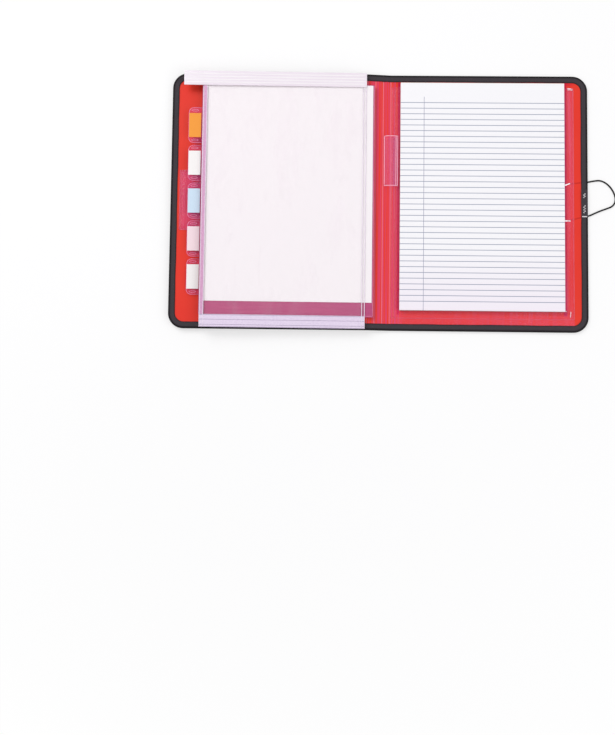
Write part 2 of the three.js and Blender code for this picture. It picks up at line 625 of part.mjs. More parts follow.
const lowerTrack = pouchHigh + LAYER_GAP;
const upperTrack = lowerTrack + ZIP_TRACK_THICKNESS + LAYER_GAP;
const track = rectangle(zipBottom, lowerTrack, zipTop, lowerTrack + ZIP_TRACK_THICKNESS);
addPiece("zip_lower_track", alongX(track, zipLeft, pouchRight), clearFilm(), pouch);
addPiece("zip_upper_track", alongX(zipSection(upperTrack, ZIP_RIB_HEIGHT), zipLeft, pouchRight), clearFilm(), pouch);
pageHinges.push(["pouch", pouchLow, POUCH_FAN_ANGLE]);

// The places and ranges of the joints, the clearances when shut and the cord's length.
const stackTop = upperTrack + ZIP_TRACK_THICKNESS + ZIP_RIB_HEIGHT - frontFace;
const shutClearance = shutDistance - 2 * half - stackTop - (paperHigh - backFace);
const slope = THREE.MathUtils.radToDeg(restSlope);
const creases = [0, 1, 2, 3].map((n) => [
  backCrease - n * STRIP_WIDTH * Math.cos(restSlope),
  backMid + n * STRIP_WIDTH * Math.sin(restSlope),
]);
console.log("rest slope", slope, "inner fold", innerFoldAngle, "creases (x, z)", creases);
console.log("outer crease travel, back", OUTER_FOLD_ANGLE - slope, "front", OUTER_FOLD_ANGLE + slope);
console.log("page hinges at x", weldX, pageHinges);
console.log("loop axis (x, z)", foreEdge, loopAxisLevel, "cord length", loopCurve.getLength());
console.log("room left between the pad and the pages when shut", shutClearance);

export default model;
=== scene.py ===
"""Looks of the plastic padfolio, open flat: taped polypropylene covers on a living hinge, ruled pad,
tabbed pages, zip pouch and elastic closure. Sizes are in millimetres until a mesh is made."""

import math
import random

import bmesh
import bpy
from mathutils import Matrix, Vector


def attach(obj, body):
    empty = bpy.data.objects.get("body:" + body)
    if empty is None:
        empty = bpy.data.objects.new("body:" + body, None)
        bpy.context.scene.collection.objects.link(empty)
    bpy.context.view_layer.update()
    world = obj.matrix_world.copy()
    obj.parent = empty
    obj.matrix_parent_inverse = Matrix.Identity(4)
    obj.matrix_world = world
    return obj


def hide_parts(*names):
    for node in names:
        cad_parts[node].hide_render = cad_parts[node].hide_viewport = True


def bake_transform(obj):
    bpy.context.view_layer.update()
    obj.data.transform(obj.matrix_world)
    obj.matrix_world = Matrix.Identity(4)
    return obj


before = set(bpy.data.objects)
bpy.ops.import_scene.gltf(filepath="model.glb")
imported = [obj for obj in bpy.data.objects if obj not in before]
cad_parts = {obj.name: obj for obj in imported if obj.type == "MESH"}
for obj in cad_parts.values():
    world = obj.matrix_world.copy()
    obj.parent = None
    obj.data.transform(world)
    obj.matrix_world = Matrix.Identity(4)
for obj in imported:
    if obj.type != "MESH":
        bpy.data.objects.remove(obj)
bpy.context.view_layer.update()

MM = 0.001

# The folded sheet.
FORE_EDGE = 259.674102
BACK_CREASE = 14.274102
INNER_CREASE = 4.758034
CREASES = {
    "back_outer": BACK_CREASE, "back_inner": INNER_CREASE, "front_inner": -INNER_CREASE,
    "front_outer": -BACK_CREASE,
}
TOP_EDGE = 161.5
BACK_MID = 2.75
FRONT_MID = 6.55
SHEET = 0.9
BACK_FACE = BACK_MID + SHEET / 2
FRONT_FACE = FRONT_MID + SHEET / 2
CORNER_RADIUS = 19
BEND_REACH = 1.7  # the sheet bends over this length on each side of a crease
FINE_REACH = BEND_REACH * 1.3  # and has a fine mesh over this one
SCORE_REACH = 0.8
SCORE_DEPTH = 0.2

# The woven tape.
TAPE_FACE = 8.5
TAPE_THICKNESS = 0.7
TAPE_RISE = 1.25  # from the sheet's middle to the tape's face
SHEET_INSET = 1.0  # from the tape's outer edge to the sheet's
LAP_HALF = 17.5
LAP_LOW = BACK_MID + TAPE_RISE
LAP_TOP = LAP_LOW + 0.5
STITCH_INSET = 6.9
STITCH_PITCH = 3.3
STITCH_LENGTH = 2.5
THREAD_RADIUS = 0.24
STITCH_RISE = 1.09  # the stitches are drawn down into the tape
CLEAR_OF_BEND = BEND_REACH + 0.2
CLEAR_OF_FOLD = CLEAR_OF_BEND + STITCH_LENGTH / 2

# The elastic. Its loop is given as the reach past the fore edge and y.
CORD_RADIUS = 1.0
CORD_SIDES = 14
LOOP_GAP = 0.3
LOOP_POINTS = [
    (0, 27.5), (4, 28.3), (9, 29.2), (15, 29.6), (21, 27.6), (27, 22.8), (31.5, 16.5), (34.1, 10),
    (34.5, 5), (33, 0.3), (29.5, -3.2), (24, -5.6), (17, -8.2), (10, -11.2), (4, -14), (0, -15.5),
]
HOLE_X = FORE_EDGE - 25.5
HOLE_RADIUS = 1.15
# For each end, y of its hole and y where it leaves the fore edge.
ELASTIC_ENDS = {"upper": (24, LOOP_POINTS[0][1]), "lower": (-22, LOOP_POINTS[-1][1])}
RUN_HALF_WIDTH, RUN_HALF_HEIGHT = 1.3, 0.75  # under the cover the cord is pressed flat
ROOT_START = FORE_EDGE - 2.2
WRAP_LOW = FORE_EDGE + 1.08
WRAP_HIGH = FORE_EDGE - 1.08
BARB_HALF_LENGTH = 3.8

# The button.
BUTTON_X = 29.9 - FORE_EDGE
BUTTON_Y = 4

# Films. A film lies a hair over its cover, and a weld's bead stands a little above the film.
FILM = 0.25
FILM_CLEAR = 0.01
BEAD_CLEAR = 0.03

# The pad and its pocket.
PAD = {"left": 26.274102, "right": 229.474102, "bottom": -136.15, "top": 149.6}
PAPER_LOW = 5.85
PAPER_HIGH = 10.25
POCKET = {"left": 15.274102, "right": 242.474102, "bottom": -146.1, "top": 146.1}
POCKET_HEM = TAPE_FACE + 0.1 - TOP_EDGE
POCKET_LIFT = 5.3 - BACK_FACE
RULE_PITCH = 7.137
FIRST_RULE = 25.0
RULE_COUNT = 36
MARGIN_LINE = 29.2
RULE_WIDTH = 0.75

# The pen loop.
PEN_X = 14.774102
PEN_Z = 7.55
PEN_HALF_WIDTH = 8.5
PEN_HALF_HEIGHT = 2.9
PEN_BOTTOM = 19
PEN_TOP = 82.5

# The card pocket.
CARD = {"left": 11 - FORE_EDGE, "right": 109 - FORE_EDGE, "bottom": -38.5, "top": 37.5}
CARD_LIFT = 0.8

# The pages, from the top one down: level of the underside, angle, right edge.
PAGE_HINGE_X = -20.274102
PAGE_THICKNESS = 0.45
PAGE_LEFT = 38.5 - FORE_EDGE
PAGE_END = 146.0
PAGE_CORNER = 3
PAGES = [
    (11.35, 1.3, 8.054), (10.6, 1.05, 8.054), (9.85, 0.8, 7.321), (9.1, 0.55, 5.08), (8.35, 0.3, 2.838),
]
FIRST_TAB_TOP = 115.0
TAB_PITCH = 47.3
TAB_GAP = 1.2
TAB_TIP = PAGE_LEFT - 17
TAB_CORNER = 7
TAB_RIM_INSET = 0.9

# The pouch.
POUCH_LEVEL = 12.55
POUCH_FRONT = POUCH_LEVEL + FILM + 0.3
POUCH_ANGLE = 1.6
POUCH = {"left": 39.4 - FORE_EDGE, "right": -16.274102, "bottom": -160.7, "top": 160.5}
HEM_TOP = POUCH["bottom"] + 16
ZIP_LEFT = 15.6 - FORE_EDGE
ZIP_BOTTOM = 142.5
ZIP_RIB_PITCH = 3.6


# Materials.


def colour(hex_value):
    """An sRGB hex colour as the linear values that a socket takes."""
    parts = [int(hex_value[i:i + 2], 16) / 255 for i in (1, 3, 5)]
    linear = [c / 12.92 if c <= 0.04045 else ((c + 0.055) / 1.055) ** 2.4 for c in parts]
    return (*linear, 1.0)


def add_node(tree, kind, inputs=None, **settings):
    """Adds a node with its settings. A shader node's kind goes without its first two words. inputs gives each
    socket a value, a hex colour, another node's output, or a node, which stands for its first output."""
    made = tree.nodes.new(kind if "Node" in kind else "ShaderNode" + kind)
    for name, value in settings.items():
        setattr(made, name, value)
    for key, value in (inputs or {}).items():
        if isinstance(value, bpy.types.Node):
            value = value.outputs[0]
        if isinstance(value, bpy.types.NodeSocket):
            tree.links.new(value, made.inputs[key])
        else:
            made.inputs[key].default_value = colour(value) if isinstance(value, str) else value
    return made


def start_material(name):
    material = bpy.data.materials.new(name)
    material.use_nodes = True
    material.node_tree.nodes.clear()
    return material, material.node_tree


def close_material(material, surface, relief=None):
    """Ends a material with its surface and its relief, which is a height, its strength and metres of depth."""
    tree = material.node_tree
    if relief:
        surface["Normal"] = add_node(tree, "Bump", dict(zip(("Height", "Strength", "Distance"), relief)))
    add_node(tree, "OutputMaterial", {"Surface": add_node(tree, "BsdfPrincipled", surface)})
    return material


def in_millimetres(tree, source, scale):
    """A place scaled to millimetres, and its X, Y and Z."""
    place = add_node(tree, "Mapping", {"Vector": source, "Scale": scale})
    return place, *add_node(tree, "SeparateXYZ", {0: place}).outputs


def object_place(tree):
    """Where a point of the piece lies."""
    return in_millimetres(tree, add_node(tree, "TexCoord").outputs["Object"], (1000, 1000, 1000))


def map_place(tree):
    """Where a point lies on the piece's own map, which stays on a sheet, tape or cord where it bends."""
    # The map holds decimetres, so 1 mm is 0.01.
    return in_millimetres(tree, add_node(tree, "UVMap", uv_map="UVMap"), (100, 100, 0))


def band(tree, value, centre, half_width, edge):
    """1 where value is within half_width of centre, falling to 0 over edge."""
    off = add_node(tree, "Math", {0: value, 1: centre}, operation="SUBTRACT")
    away = add_node(tree, "Math", {0: off}, operation="ABSOLUTE")
    ends = {"From Min": half_width, "From Max": half_width + edge, "To Min": 1.0, "To Max": 0.0}
    return add_node(tree, "MapRange", {"Value": away, **ends})


def dyed(tree, base, *coats):
    """A colour under coats of others. A coat is its colour and the shares whose product is how far it covers."""
    for tint, *shares in coats:
        part = shares[0]
        for share in shares[1:]:
            part = add_node(tree, "Math", {0: part, 1: share}, operation="MULTIPLY")
        base = add_node(tree, "Mix", {0: part, 6: base, 7: tint}, data_type="RGBA").outputs[2]
    return base


def red_polypropylene():
    """Extruded polypropylene sheet, embossed with a fine sand grain: a deep, even red that is a little more
    orange on the inner face, with soft wide highlights and paler streaks where the spine is scored, a painted
    highlight along each crease and painted shade beside the pad."""
    material, tree = start_material("extruded_red_polypropylene")
    place, x, y, _ = map_place(tree)
    inner = add_node(tree, "Attribute", attribute_name="inner_face").outputs["Fac"]
    outer = add_node(tree, "Math", {0: 1.0, 1: inner}, operation="SUBTRACT")
    # Slow unevenness of the sheet's dye over about 60 mm.
    cloud = add_node(tree, "TexNoise", {"Vector": place, "Scale": 1 / 60, "Detail": 3.0}).outputs["Fac"]
    uneven = add_node(tree, "MapRange", {"Value": cloud, "From Min": 0.35, "From Max": 0.65, "To Max": 0.16})
    # Stress-paled streaks along the spine, 1 to 3 mm wide, strong on the inner face only.
    drawn = add_node(tree, "Mapping", {"Vector": place, "Scale": (0.62, 0.004, 0.0)})
    streaks = add_node(tree, "TexNoise", {"Vector": drawn, "Scale": 1.0, "Detail": 2.0}).outputs["Fac"]
    streak = add_node(tree, "MapRange", {"Value": streaks, "From Min": 0.42, "From Max": 0.6})
    streaked = dyed(tree, "#E83F2A", ("#DF4266", streak))
    # Narrow crimson bands along the pad's sides and above its top are painted shade beside the pad, where the
    # pocket's film is drawn down steeply.
    pad_side_shade_span = band(tree, y, 6.0, 146.0, 2.0)
    coats = [
        ("#E63C2D", inner),
        ("#D41C28", uneven),
        (streaked, inner, band(tree, x, 5.0, 22.0, 4.0)),
        ("#D8304A", outer, streak, band(tree, x, 0.0, 15.0, 5.0), 0.45),
        ("#D01444", inner, pad_side_shade_span, band(tree, x, 231.2, 1.6, 0.8)),
        ("#D01444", inner, pad_side_shade_span, band(tree, x, 24.9, 1.2, 0.8)),
        ("#C4143C", inner, band(tree, y, 151.2, 1.6, 0.6), band(tree, x, 134.0, 92.0, 20.0)),
    ]
    # The elastic under the cover shows through the translucent sheet as two faint dark lines on its inner face.
    run_reach = band(tree, x, HOLE_X + 11.0, 9.5, 1.0)
    for hole_y, edge_y in ELASTIC_ENDS.values():
        slope = (edge_y - hole_y) / (FORE_EDGE - HOLE_X)
        level_y = add_node(tree, "Math", {0: x, 1: -slope, 2: y}, operation="MULTIPLY_ADD")
        run_line = band(tree, level_y, hole_y - slope * HOLE_X, 0.6, 0.6)
        coats.append(("#A01018", inner, run_reach, run_line, 0.4))
    # A pale line along each crease is a painted highlight where the scored groove catches the light.
    coats += [("#EE7F90", band(tree, x, crease, 0.35, 0.5), 0.6) for crease in CREASES.values()]
    grain = add_node(tree, "TexNoise", {"Vector": place, "Scale": 1.4, "Detail": 2.0}).outputs["Fac"]
    pits = add_node(tree, "TexVoronoi", {"Vector": place, "Scale": 1.1}).outputs["Distance"]
    sand = add_node(tree, "Math", {0: grain, 1: pits}, operation="ADD")
    rough = add_node(tree, "MapRange", {"Value": cloud, "To Min": 0.38, "To Max": 0.5})
    red = dyed(tree, "#EC1C2E", *coats)
    surface = {"Base Color": red, "Roughness": rough, "IOR": 1.49, "Specular IOR Level": 0.14}
    return close_material(material, surface, (sand, 0.22, 0.0001))


def woven_tape():
    """Polypropylene grosgrain tape: close ribs across its width, dull and near black, with a painted highlight
    that greys its flat middle, most on the inner face, and painted lighter crests on its ribs. The ribs are drawn
    1.1 mm apart, about twice the real spacing, to show."""
    material, tree = start_material("woven_grosgrain_tape")
    place, x, y, _ = map_place(tree)
    rib_pitch, thread_pitch = 1.1, 1.0
    along = add_node(tree, "Math", {0: x, 1: math.tau / rib_pitch}, operation="MULTIPLY")
    ribs = add_node(tree, "Math", {0: along}, operation="SINE")
    # The threads across change places from one rib to the next.
    row = add_node(tree, "Math", {0: x, 1: rib_pitch}, operation="DIVIDE")
    whole_row = add_node(tree, "Math", {0: row}, operation="FLOOR")
    shift = add_node(tree, "Math", {0: whole_row, 1: math.pi}, operation="MULTIPLY")
    across = add_node(tree, "Math", {0: y, 1: math.tau / thread_pitch, 2: shift}, operation="MULTIPLY_ADD")
    threads = add_node(tree, "Math", {0: across}, operation="SINE")
    weave = add_node(tree, "Math", {0: threads, 1: 0.6, 2: ribs}, operation="MULTIPLY_ADD")
    fuzz = add_node(tree, "TexNoise", {"Vector": place, "Scale": 0.9, "Detail": 4.0}).outputs["Fac"]
    # On the tape the inner_face attribute holds how much painted highlight greys it.
    inner = add_node(tree, "Attribute", attribute_name="inner_face").outputs["Fac"]
    # The ribs' crests are painted lighter than their hollows: a painted highlight on the weave.
    crest_highlight = add_node(tree, "MapRange", {"Value": weave, "From Min": -1.6, "From Max": 1.6, "To Max": 0.42})
    worn = add_node(tree, "MapRange", {"Value": fuzz, "From Min": 0.45, "From Max": 0.8, "To Max": 0.5})
    cloth = dyed(tree, "#0D0B0D", ("#3A353A", inner))
    ridge = dyed(tree, "#332D32", ("#524D53", inner))
    woven = add_node(tree, "Mix", {0: crest_highlight, 6: cloth, 7: ridge}, data_type="RGBA", blend_type="LIGHTEN")
    surface = {"Base Color": dyed(tree, woven.outputs[2], ("#1C181B", worn)), "Roughness": 0.78,
               "Specular IOR Level": 0.15, "Sheen Weight": 0.05, "Sheen Roughness": 0.5}
    return close_material(material, surface, (weave, 0.35, 0.00015))


def sewing_thread():
    """Twisted polyester thread: black with a slight lustre and a fine twist along each stitch."""
    material, tree = start_material("black_polyester_thread")
    place, *_ = object_place(tree)
    twist = add_node(
        tree, "TexWave", {"Vector": place, "Scale": 0.55, "Distortion": 1.2}, bands_direction="DIAGONAL"
    ).outputs["Fac"]
    surface = {"Base Color": dyed(tree, "#151315", ("#3B383C", twist)), "Roughness": 0.5}
    return close_material(material, surface, (twist, 0.5, 0.0001))


def braided_elastic():
    """Round elastic in a polyester braid: black, with the crossing strands of the braid as small diamonds, their
    crests painted lighter as a painted highlight.
    """
    material, tree = start_material("braided_black_elastic")
    # Once round the cord is 1 dm of its map's Y. Four strands each way cross every 1.5 mm of its length.
    _, x, y, _ = map_place(tree)
    lengthwise = add_node(tree, "Math", {0: x, 1: math.tau / 1.5}, operation="MULTIPLY")
    strands = []
    for hand in (1, -1):
        angle = add_node(
            tree, "Math", {0: y, 1: hand * 4 * math.tau / 100, 2: lengthwise}, operation="MULTIPLY_ADD"
        )
        strands.append(add_node(tree, "Math", {0: angle}, operation="SINE"))
    braid = add_node(tree, "Math", {0: strands[0], 1: strands[1]}, operation="MAXIMUM")
    # The strands' crests are painted lighter: a painted highlight on the braid.
    crest_highlight = add_node(tree, "MapRange", {"Value": braid, "From Min": -0.6})
    surface = {"Base Color": dyed(tree, "#060506", ("#161416", crest_highlight)), "Roughness": 0.6,
               "Specular IOR Level": 0.12}
    return close_material(material, surface, (braid, 0.5, 0.00012))


def nickel_plate():
    """Nickel-plated pressed steel: bright, slightly warm, with fine handling scratches."""
    material, tree = start_material("nickel_plated_steel")
    place, *_ = object_place(tree)
    drawn = add_node(tree, "Mapping", {"Vector": place, "Scale": (0.6, 6.0, 2.0)})
    scratches = add_node(tree, "TexNoise", {"Vector": drawn, "Scale": 2.0, "Detail": 4.0}).outputs["Fac"]
    rough = add_node(tree, "MapRange", {"Value": scratches, "To Min": 0.14, "To Max": 0.34})
    nickel = dyed(tree, "#E2E3E6", ("#F1F1F3", scratches))
    surface = {"Base Color": nickel, "Metallic": 1.0, "Roughness": rough}
    return close_material(material, surface, (scratches, 0.08, 0.0001))


def moulded_black():
    """Injection-moulded ABS with a fine spark-eroded texture: black, satin, with soft highlights on its rims."""
    material, tree = start_material("moulded_black_abs")
    place, *_ = object_place(tree)
    texture = add_node(tree, "TexNoise", {"Vector": place, "Scale": 4.0, "Detail": 2.0}).outputs["Fac"]
    surface = {"Base Color": dyed(tree, "#171318", ("#241D23", texture)), "Roughness": 0.36, "IOR": 1.54,
               "Specular IOR Level": 0.22}
    return close_material(material, surface, (texture, 0.3, 0.00006))


def soft_film(name, tint, deep_tint, alpha, roughness=0.16, glints=0.0):
    """Calendered soft vinyl film: clear and glossy, faintly tinted, with slow ripples that break its
    highlights. alpha is for its single layer, and glints is how much more a ripple's crest shows, as a painted
    glint in the film's pale tint."""
    material, tree = start_material(name)
    place, *_ = object_place(tree)
    drawn = add_node(tree, "Mapping", {"Vector": place, "Rotation": (0, 0, 0.5), "Scale": (1.0, 0.35, 1.0)})
    ripples = add_node(
        tree, "TexNoise", {"Vector": drawn, "Scale": 1 / 24, "Detail": 3.0, "Distortion": 0.5}
    ).outputs["Fac"]
    dust = add_node(tree, "TexNoise", {"Vector": place, "Scale": 0.8, "Detail": 2.0}).outputs["Fac"]
    height = add_node(tree, "Math", {0: dust, 1: 0.02, 2: ripples}, operation="MULTIPLY_ADD")
    # A ripple's crest is drawn more opaque in the film's pale tint: a painted glint.
    crests = add_node(
        tree, "MapRange",
        {"Value": ripples, "From Min": 0.5, "From Max": 0.72, "To Min": alpha, "To Max": alpha + glints},
    )
    surface = {"Base Color": dyed(tree, tint, (deep_tint, ripples)), "Roughness": roughness, "IOR": 1.53,
               "Alpha": crests}
    return close_material(material, surface, (height, 0.15, 0.002))


def streaked_film():
    """Vinyl film of the pad's pocket and the pen loop: rosy over the red sheet, drawn out in faint paler and
    deeper bands along the pocket, as calendered film is."""
    material, tree = start_material("rosy_calendered_vinyl")
    place, x, *_ = object_place(tree)
    drawn = add_node(tree, "Mapping", {"Vector": place, "Scale": (0.32, 0.006, 0.0)})
    bands = add_node(tree, "TexNoise", {"Vector": drawn, "Scale": 1.0, "Detail": 2.0}).outputs["Fac"]
    dust = add_node(tree, "TexNoise", {"Vector": place, "Scale": 0.8, "Detail": 2.0}).outputs["Fac"]
    # The film is thicker towards the fore edge, and so rosier.
    thick = add_node(
        tree, "MapRange", {"Value": x, "From Min": 60.0, "From Max": 200.0, "To Min": 0.09, "To Max": 0.18}
    )
    share = add_node(
        tree, "MapRange", {"Value": bands, "From Min": 0.35, "From Max": 0.68, "To Min": 0.06, "To Max": thick}
    )
    surface = {"Base Color": dyed(tree, "#F27FCB", ("#FFA6E6", bands)), "Roughness": 0.18, "IOR": 1.53,
               "Alpha": share}
    return close_material(material, surface, (dust, 0.1, 0.0002))


def page_film():
    """Milky polypropylene film of the divider pages: rosy where the stack of pages lies over the red cover, and
    clearer on the tabs, which are a sleeve of thinner film."""
    material, tree = start_material("milky_polypropylene_film")
    place, x, *_ = object_place(tree)
    body_edge = {"From Min": PAGE_LEFT - 0.2, "From Max": PAGE_LEFT + 0.2}
    on_tab = add_node(tree, "MapRange", {"Value": x, **body_edge, "To Min": 1.0, "To Max": 0.0})
    drawn = add_node(tree, "Mapping", {"Vector": place, "Scale": (0.02, 0.35, 0.0)})
    cloud = add_node(tree, "TexNoise", {"Vector": drawn, "Scale": 1.0, "Detail": 3.0}).outputs["Fac"]
    milky = dyed(tree, "#A63A6E", ("#C24E7E", cloud), ("#FA68BE", on_tab))
    share = add_node(tree, "MapRange", {"Value": on_tab, "To Min": 1.0, "To Max": 0.08})
    surface = {"Base Color": milky, "Roughness": 0.28, "IOR": 1.49, "Alpha": share}
    return close_material(material, surface, (cloud, 0.3, 0.001))


def pressed_film(name, light, dark):
    """Film pressed and fused under a hot bar: it frosts to a pale solid band with a finely pitted, glossy face.
    The same pale band also serves for painted highlights and glints.
    """
    material, tree = start_material(name)
    place, *_ = object_place(tree)
    pits = add_node(tree, "TexNoise", {"Vector": place, "Scale": 0.7, "Detail": 3.0}).outputs["Fac"]
    frosted = add_node(tree, "MapRange", {"Value": pits, "From Min": 0.35, "From Max": 0.65})
    surface = {"Base Color": dyed(tree, light, (dark, frosted)), "Roughness": 0.32}
    return close_material(material, surface, (pits, 0.3, 0.0001))


def dished_rivet():
    """Steel rivet, dark in its dished head, with two painted glints at its lower rim."""
    material, tree = start_material("dark_rivet_with_painted_glints")
    place, *_ = object_place(tree)
    # Two bright marks at the lower rim of the head are painted glints.
    painted_glints = []
    for dx, dy, reach in ((-0.6, -2.5, 1.0), (2.6, -1.4, 0.8)):
        centre = (BUTTON_X + dx, BUTTON_Y + dy, 0.5)
        off = add_node(tree, "VectorMath", {0: place, 1: centre}, operation="SUBTRACT")
        drawn = add_node(tree, "Mapping", {"Vector": off, "Scale": (0.7, 1.3, 0.1)})
        away = add_node(tree, "VectorMath", {0: drawn}, operation="LENGTH").outputs["Value"]
        edge = {"From Min": reach * 0.6, "From Max": reach, "To Min": 1.0, "To Max": 0.0}
        painted_glints.append(("#F1F1F3", add_node(tree, "MapRange", {"Value": away, **edge})))
    surface = {"Base Color": dyed(tree, "#2B282B", *painted_glints), "Metallic": 0.9, "Roughness": 0.3}
    return close_material(material, surface)


def zip_vinyl():
    """Extruded press-to-close strip of white vinyl: milky and glossy, with faint lines along it and the crests of
    its ribs painted lighter as a painted highlight, which leaves the grooves beside them greyer.
    """
    material, tree = start_material("extruded_white_vinyl")
    place, *_ = object_place(tree)
    # The rib attribute marks the ribs' crests, which are painted lighter: a painted highlight.
    rib = add_node(tree, "Attribute", attribute_name="rib").outputs["Fac"]
    drawn = add_node(tree, "Mapping", {"Vector": place, "Scale": (0.01, 0.7, 0.7)})
    lines = add_node(tree, "TexNoise", {"Vector": drawn, "Scale": 1.0, "Detail": 3.0}).outputs["Fac"]
    milky = dyed(tree, "#FBF5FB", ("#EADCEA", lines), ("#FEFBFD", rib))
    return close_material(material, {"Base Color": milky, "Roughness": 0.2, "IOR": 1.53, "Alpha": 0.93})


def ruled_paper():
    """Bond writing paper, offset ruled: soft white with pale blue-grey lines and one margin line; the cut edges
    of the sheets show as fine layers."""
    material, tree = start_material("ruled_bond_paper")
    place, x, y, z = object_place(tree)
    down = add_node(tree, "Math", {0: PAD["top"] - FIRST_RULE, 1: y}, operation="SUBTRACT")
    row = add_node(tree, "Math", {0: down, 1: RULE_PITCH}, operation="DIVIDE")
    nearest = add_node(tree, "Math", {0: row}, operation="ROUND")
    off = add_node(tree, "Math", {0: row, 1: nearest}, operation="SUBTRACT")
    off_mm = add_node(tree, "Math", {0: off, 1: RULE_PITCH}, operation="MULTIPLY")
    rule = band(tree, off_mm, 0.0, RULE_WIDTH / 2 - 0.1, 0.2)
    on_sheet = band(tree, row, (RULE_COUNT - 1) / 2, RULE_COUNT / 2 - 0.3, 0.1)
    margin = band(tree, x, PAD["left"] + MARGIN_LINE, 0.2, 0.2)
    below_head = add_node(tree, "MapRange", {"Value": down, "From Min": -8.0, "From Max": -7.0})
    fibres = add_node(tree, "TexNoise", {"Vector": place, "Scale": 1.6, "Detail": 4.0}).outputs["Fac"]
    foot = add_node(tree, "MapRange", {"Value": y, "From Min": -60.0, "From Max": PAD["bottom"], "To Max": 0.7})
    # The sheets' edges: one layer drawn each 0.35 mm.
    layers = add_node(tree, "Math", {0: z, 1: math.tau / 0.35}, operation="MULTIPLY")
    layer = add_node(tree, "Math", {0: layers}, operation="SINE")
    edge = add_node(tree, "MapRange", {"Value": layer, "From Min": -1.0})
    normal = add_node(tree, "SeparateXYZ", {0: add_node(tree, "NewGeometry").outputs["True Normal"]})
    side = add_node(tree, "MapRange", {"Value": normal.outputs["Z"], "From Min": 0.5, "From Max": 0.2})
    paper = dyed(
        tree, "#FBFAFC", ("#F1F1F6", fibres), ("#F1E8F4", foot), ("#8089A3", rule, on_sheet),
        ("#8E90AC", margin, below_head), (dyed(tree, "#D9D8DC", ("#F6F5F4", edge)), side),
    )
    return close_material(material, {"Base Color": paper, "Roughness": 0.88}, (fibres, 0.12, 0.0001))


def matte_stock(name, light, dark, fibre_mm, roughness=0.85):
    """Paper, card or board: matte, with a fine mottle of its fibres."""
    material, tree = start_material(name)
    place, *_ = object_place(tree)
    fibres = add_node(tree, "TexNoise", {"Vector": place, "Scale": 1 / fibre_mm, "Detail": 5.0}).outputs["Fac"]
    surface = {"Base Color": dyed(tree, light, (dark, fibres)), "Roughness": roughness}
    return close_material(material, surface, (fibres, 0.2, 0.00008))


RED = red_polypropylene()
TAPE = woven_tape()
THREAD = sewing_thread()
TACK = pressed_film("glossy_nylon_thread", "#EFEAED", "#C8C0C5")
# A pale line along the lap's turned-under edge: a painted highlight.
LAP_EDGE_HIGHLIGHT = pressed_film("painted_lap_edge_highlight", "#E6E1E4", "#CDC6CA")
ELASTIC = braided_elastic()
NICKEL = nickel_plate()
RIVET = dished_rivet()
BUTTON = moulded_black()
POCKET_FILM = streaked_film()
WELD = pressed_film("frosted_weld", "#E6606F", "#DC4E6A")
# Pale pink beads along the pen loop's edges: painted highlights.
PEN_HIGHLIGHT = pressed_film("painted_sleeve_highlight", "#F9C2D6", "#F2A8C4")
CARD_FILM = soft_film("rosy_card_pocket_vinyl", "#D86AC8", "#CC5CBC", 0.2)
# The pages lie face to face, and so many films together are as good as opaque. Only their tabs are clear.
PAGE_FILM = page_film()
PAGE_WELD = pressed_film("pressed_film_edge", "#E88AAA", "#DE7A9E")
CLEAR_FILM = soft_film("clear_soft_vinyl", "#FFF6FC", "#FBEDF8", 0.02, 0.14, 0.04)
CLEAR_WELD = pressed_film("clear_vinyl_weld", "#F1E6F2", "#E6D8EA")
HEM_LINE = pressed_film("pressed_hem_line", "#B7A8C3", "#A496B2")
HEM_FILM = pressed_film("doubled_clear_vinyl", "#E8DBEF", "#DBCBE5")
SIDE_HEM_FILM = pressed_film("doubled_vinyl_over_film", "#D8A4C8", "#CA92BA")
# Pale beads at the pad pocket's corners: painted glints.
CORNER_GLINT = pressed_film("painted_corner_glint", "#FBEFF5", "#F5DCE8")
ZIP = zip_vinyl()
RULED = ruled_paper()
SHEET_PAPER = matte_stock("bond_paper", "#F9F4F6", "#F2ECF0", 1.2)
BOARD = matte_stock("greyboard", "#BFB19C", "#A39580", 1.5)
GUM = matte_stock("padding_gum", "#EDE9E2", "#DDD7CC", 3.0, 0.55)
LABELS = [
    matte_stock("orange_card", "#F6A140", "#EE9534", 1.0),
    matte_stock("white_card", "#FAF7F6", "#F0ECEC", 1.0),
    matte_stock("pale_blue_card", "#D3E6F7", "#C5DBEE", 1.0),
    matte_stock("pale_pink_card", "#F8E2E8", "#F0D6DE", 1.0),
    matte_stock("second_white_card", "#FAF7F6", "#F0ECEC", 1.0),
]


# Places and shapes.


def spread(start, end, step):
    """Even steps from start to end, no longer than step."""
    count = max(1, math.ceil(abs(end - start) / step - 1e-6))
    return [start + (end - start) * i / count for i in range(count + 1)]


def joined_stations(*runs):
    found = []
    for run in runs:
        for value in run:
            if not found or abs(value - found[-1]) > 1e-4:
                found.append(value)
    return found


def fine_at_ends(start, end, reach, fine, coarse):
    """Stations from start to end that are close together over reach at both ends."""
    return joined_stations(
        spread(start, start + reach, fine), spread(start + reach, end - reach, coarse),
        spread(end - reach, end, fine),
    )


def rise(value, start, reach):
    """0 up to start and 1 after a further reach, with a smooth slope between."""
    t = min(max((value - start) / reach, 0.0), 1.0)
    return t * t * (3 - 2 * t)


def angles(count):
    """Even angles once round."""
    return [math.tau * k / count for k in range(count)]


def arc(cx, cy, radius, start, end, steps=8):
    turns = [start + (end - start) * s / steps for s in range(steps + 1)]
    return [(cx + radius * math.cos(a), cy + radius * math.sin(a)) for a in turns]


def line_up(place, x, low, high, step=3):
    """Points at x from low to high, each where place puts it."""
    return [place(x, y) for y in spread(low, high, step)]


def line_across(place, y, left, right, step=3):
    """Points at y from left to right, each where place puts it."""
    return [place(x, y) for x in spread(left, right, step)]


def put_in_scene(name, data):
    made = bpy.data.objects.new(name, data)
    bpy.context.collection.objects.link(made)
    return made


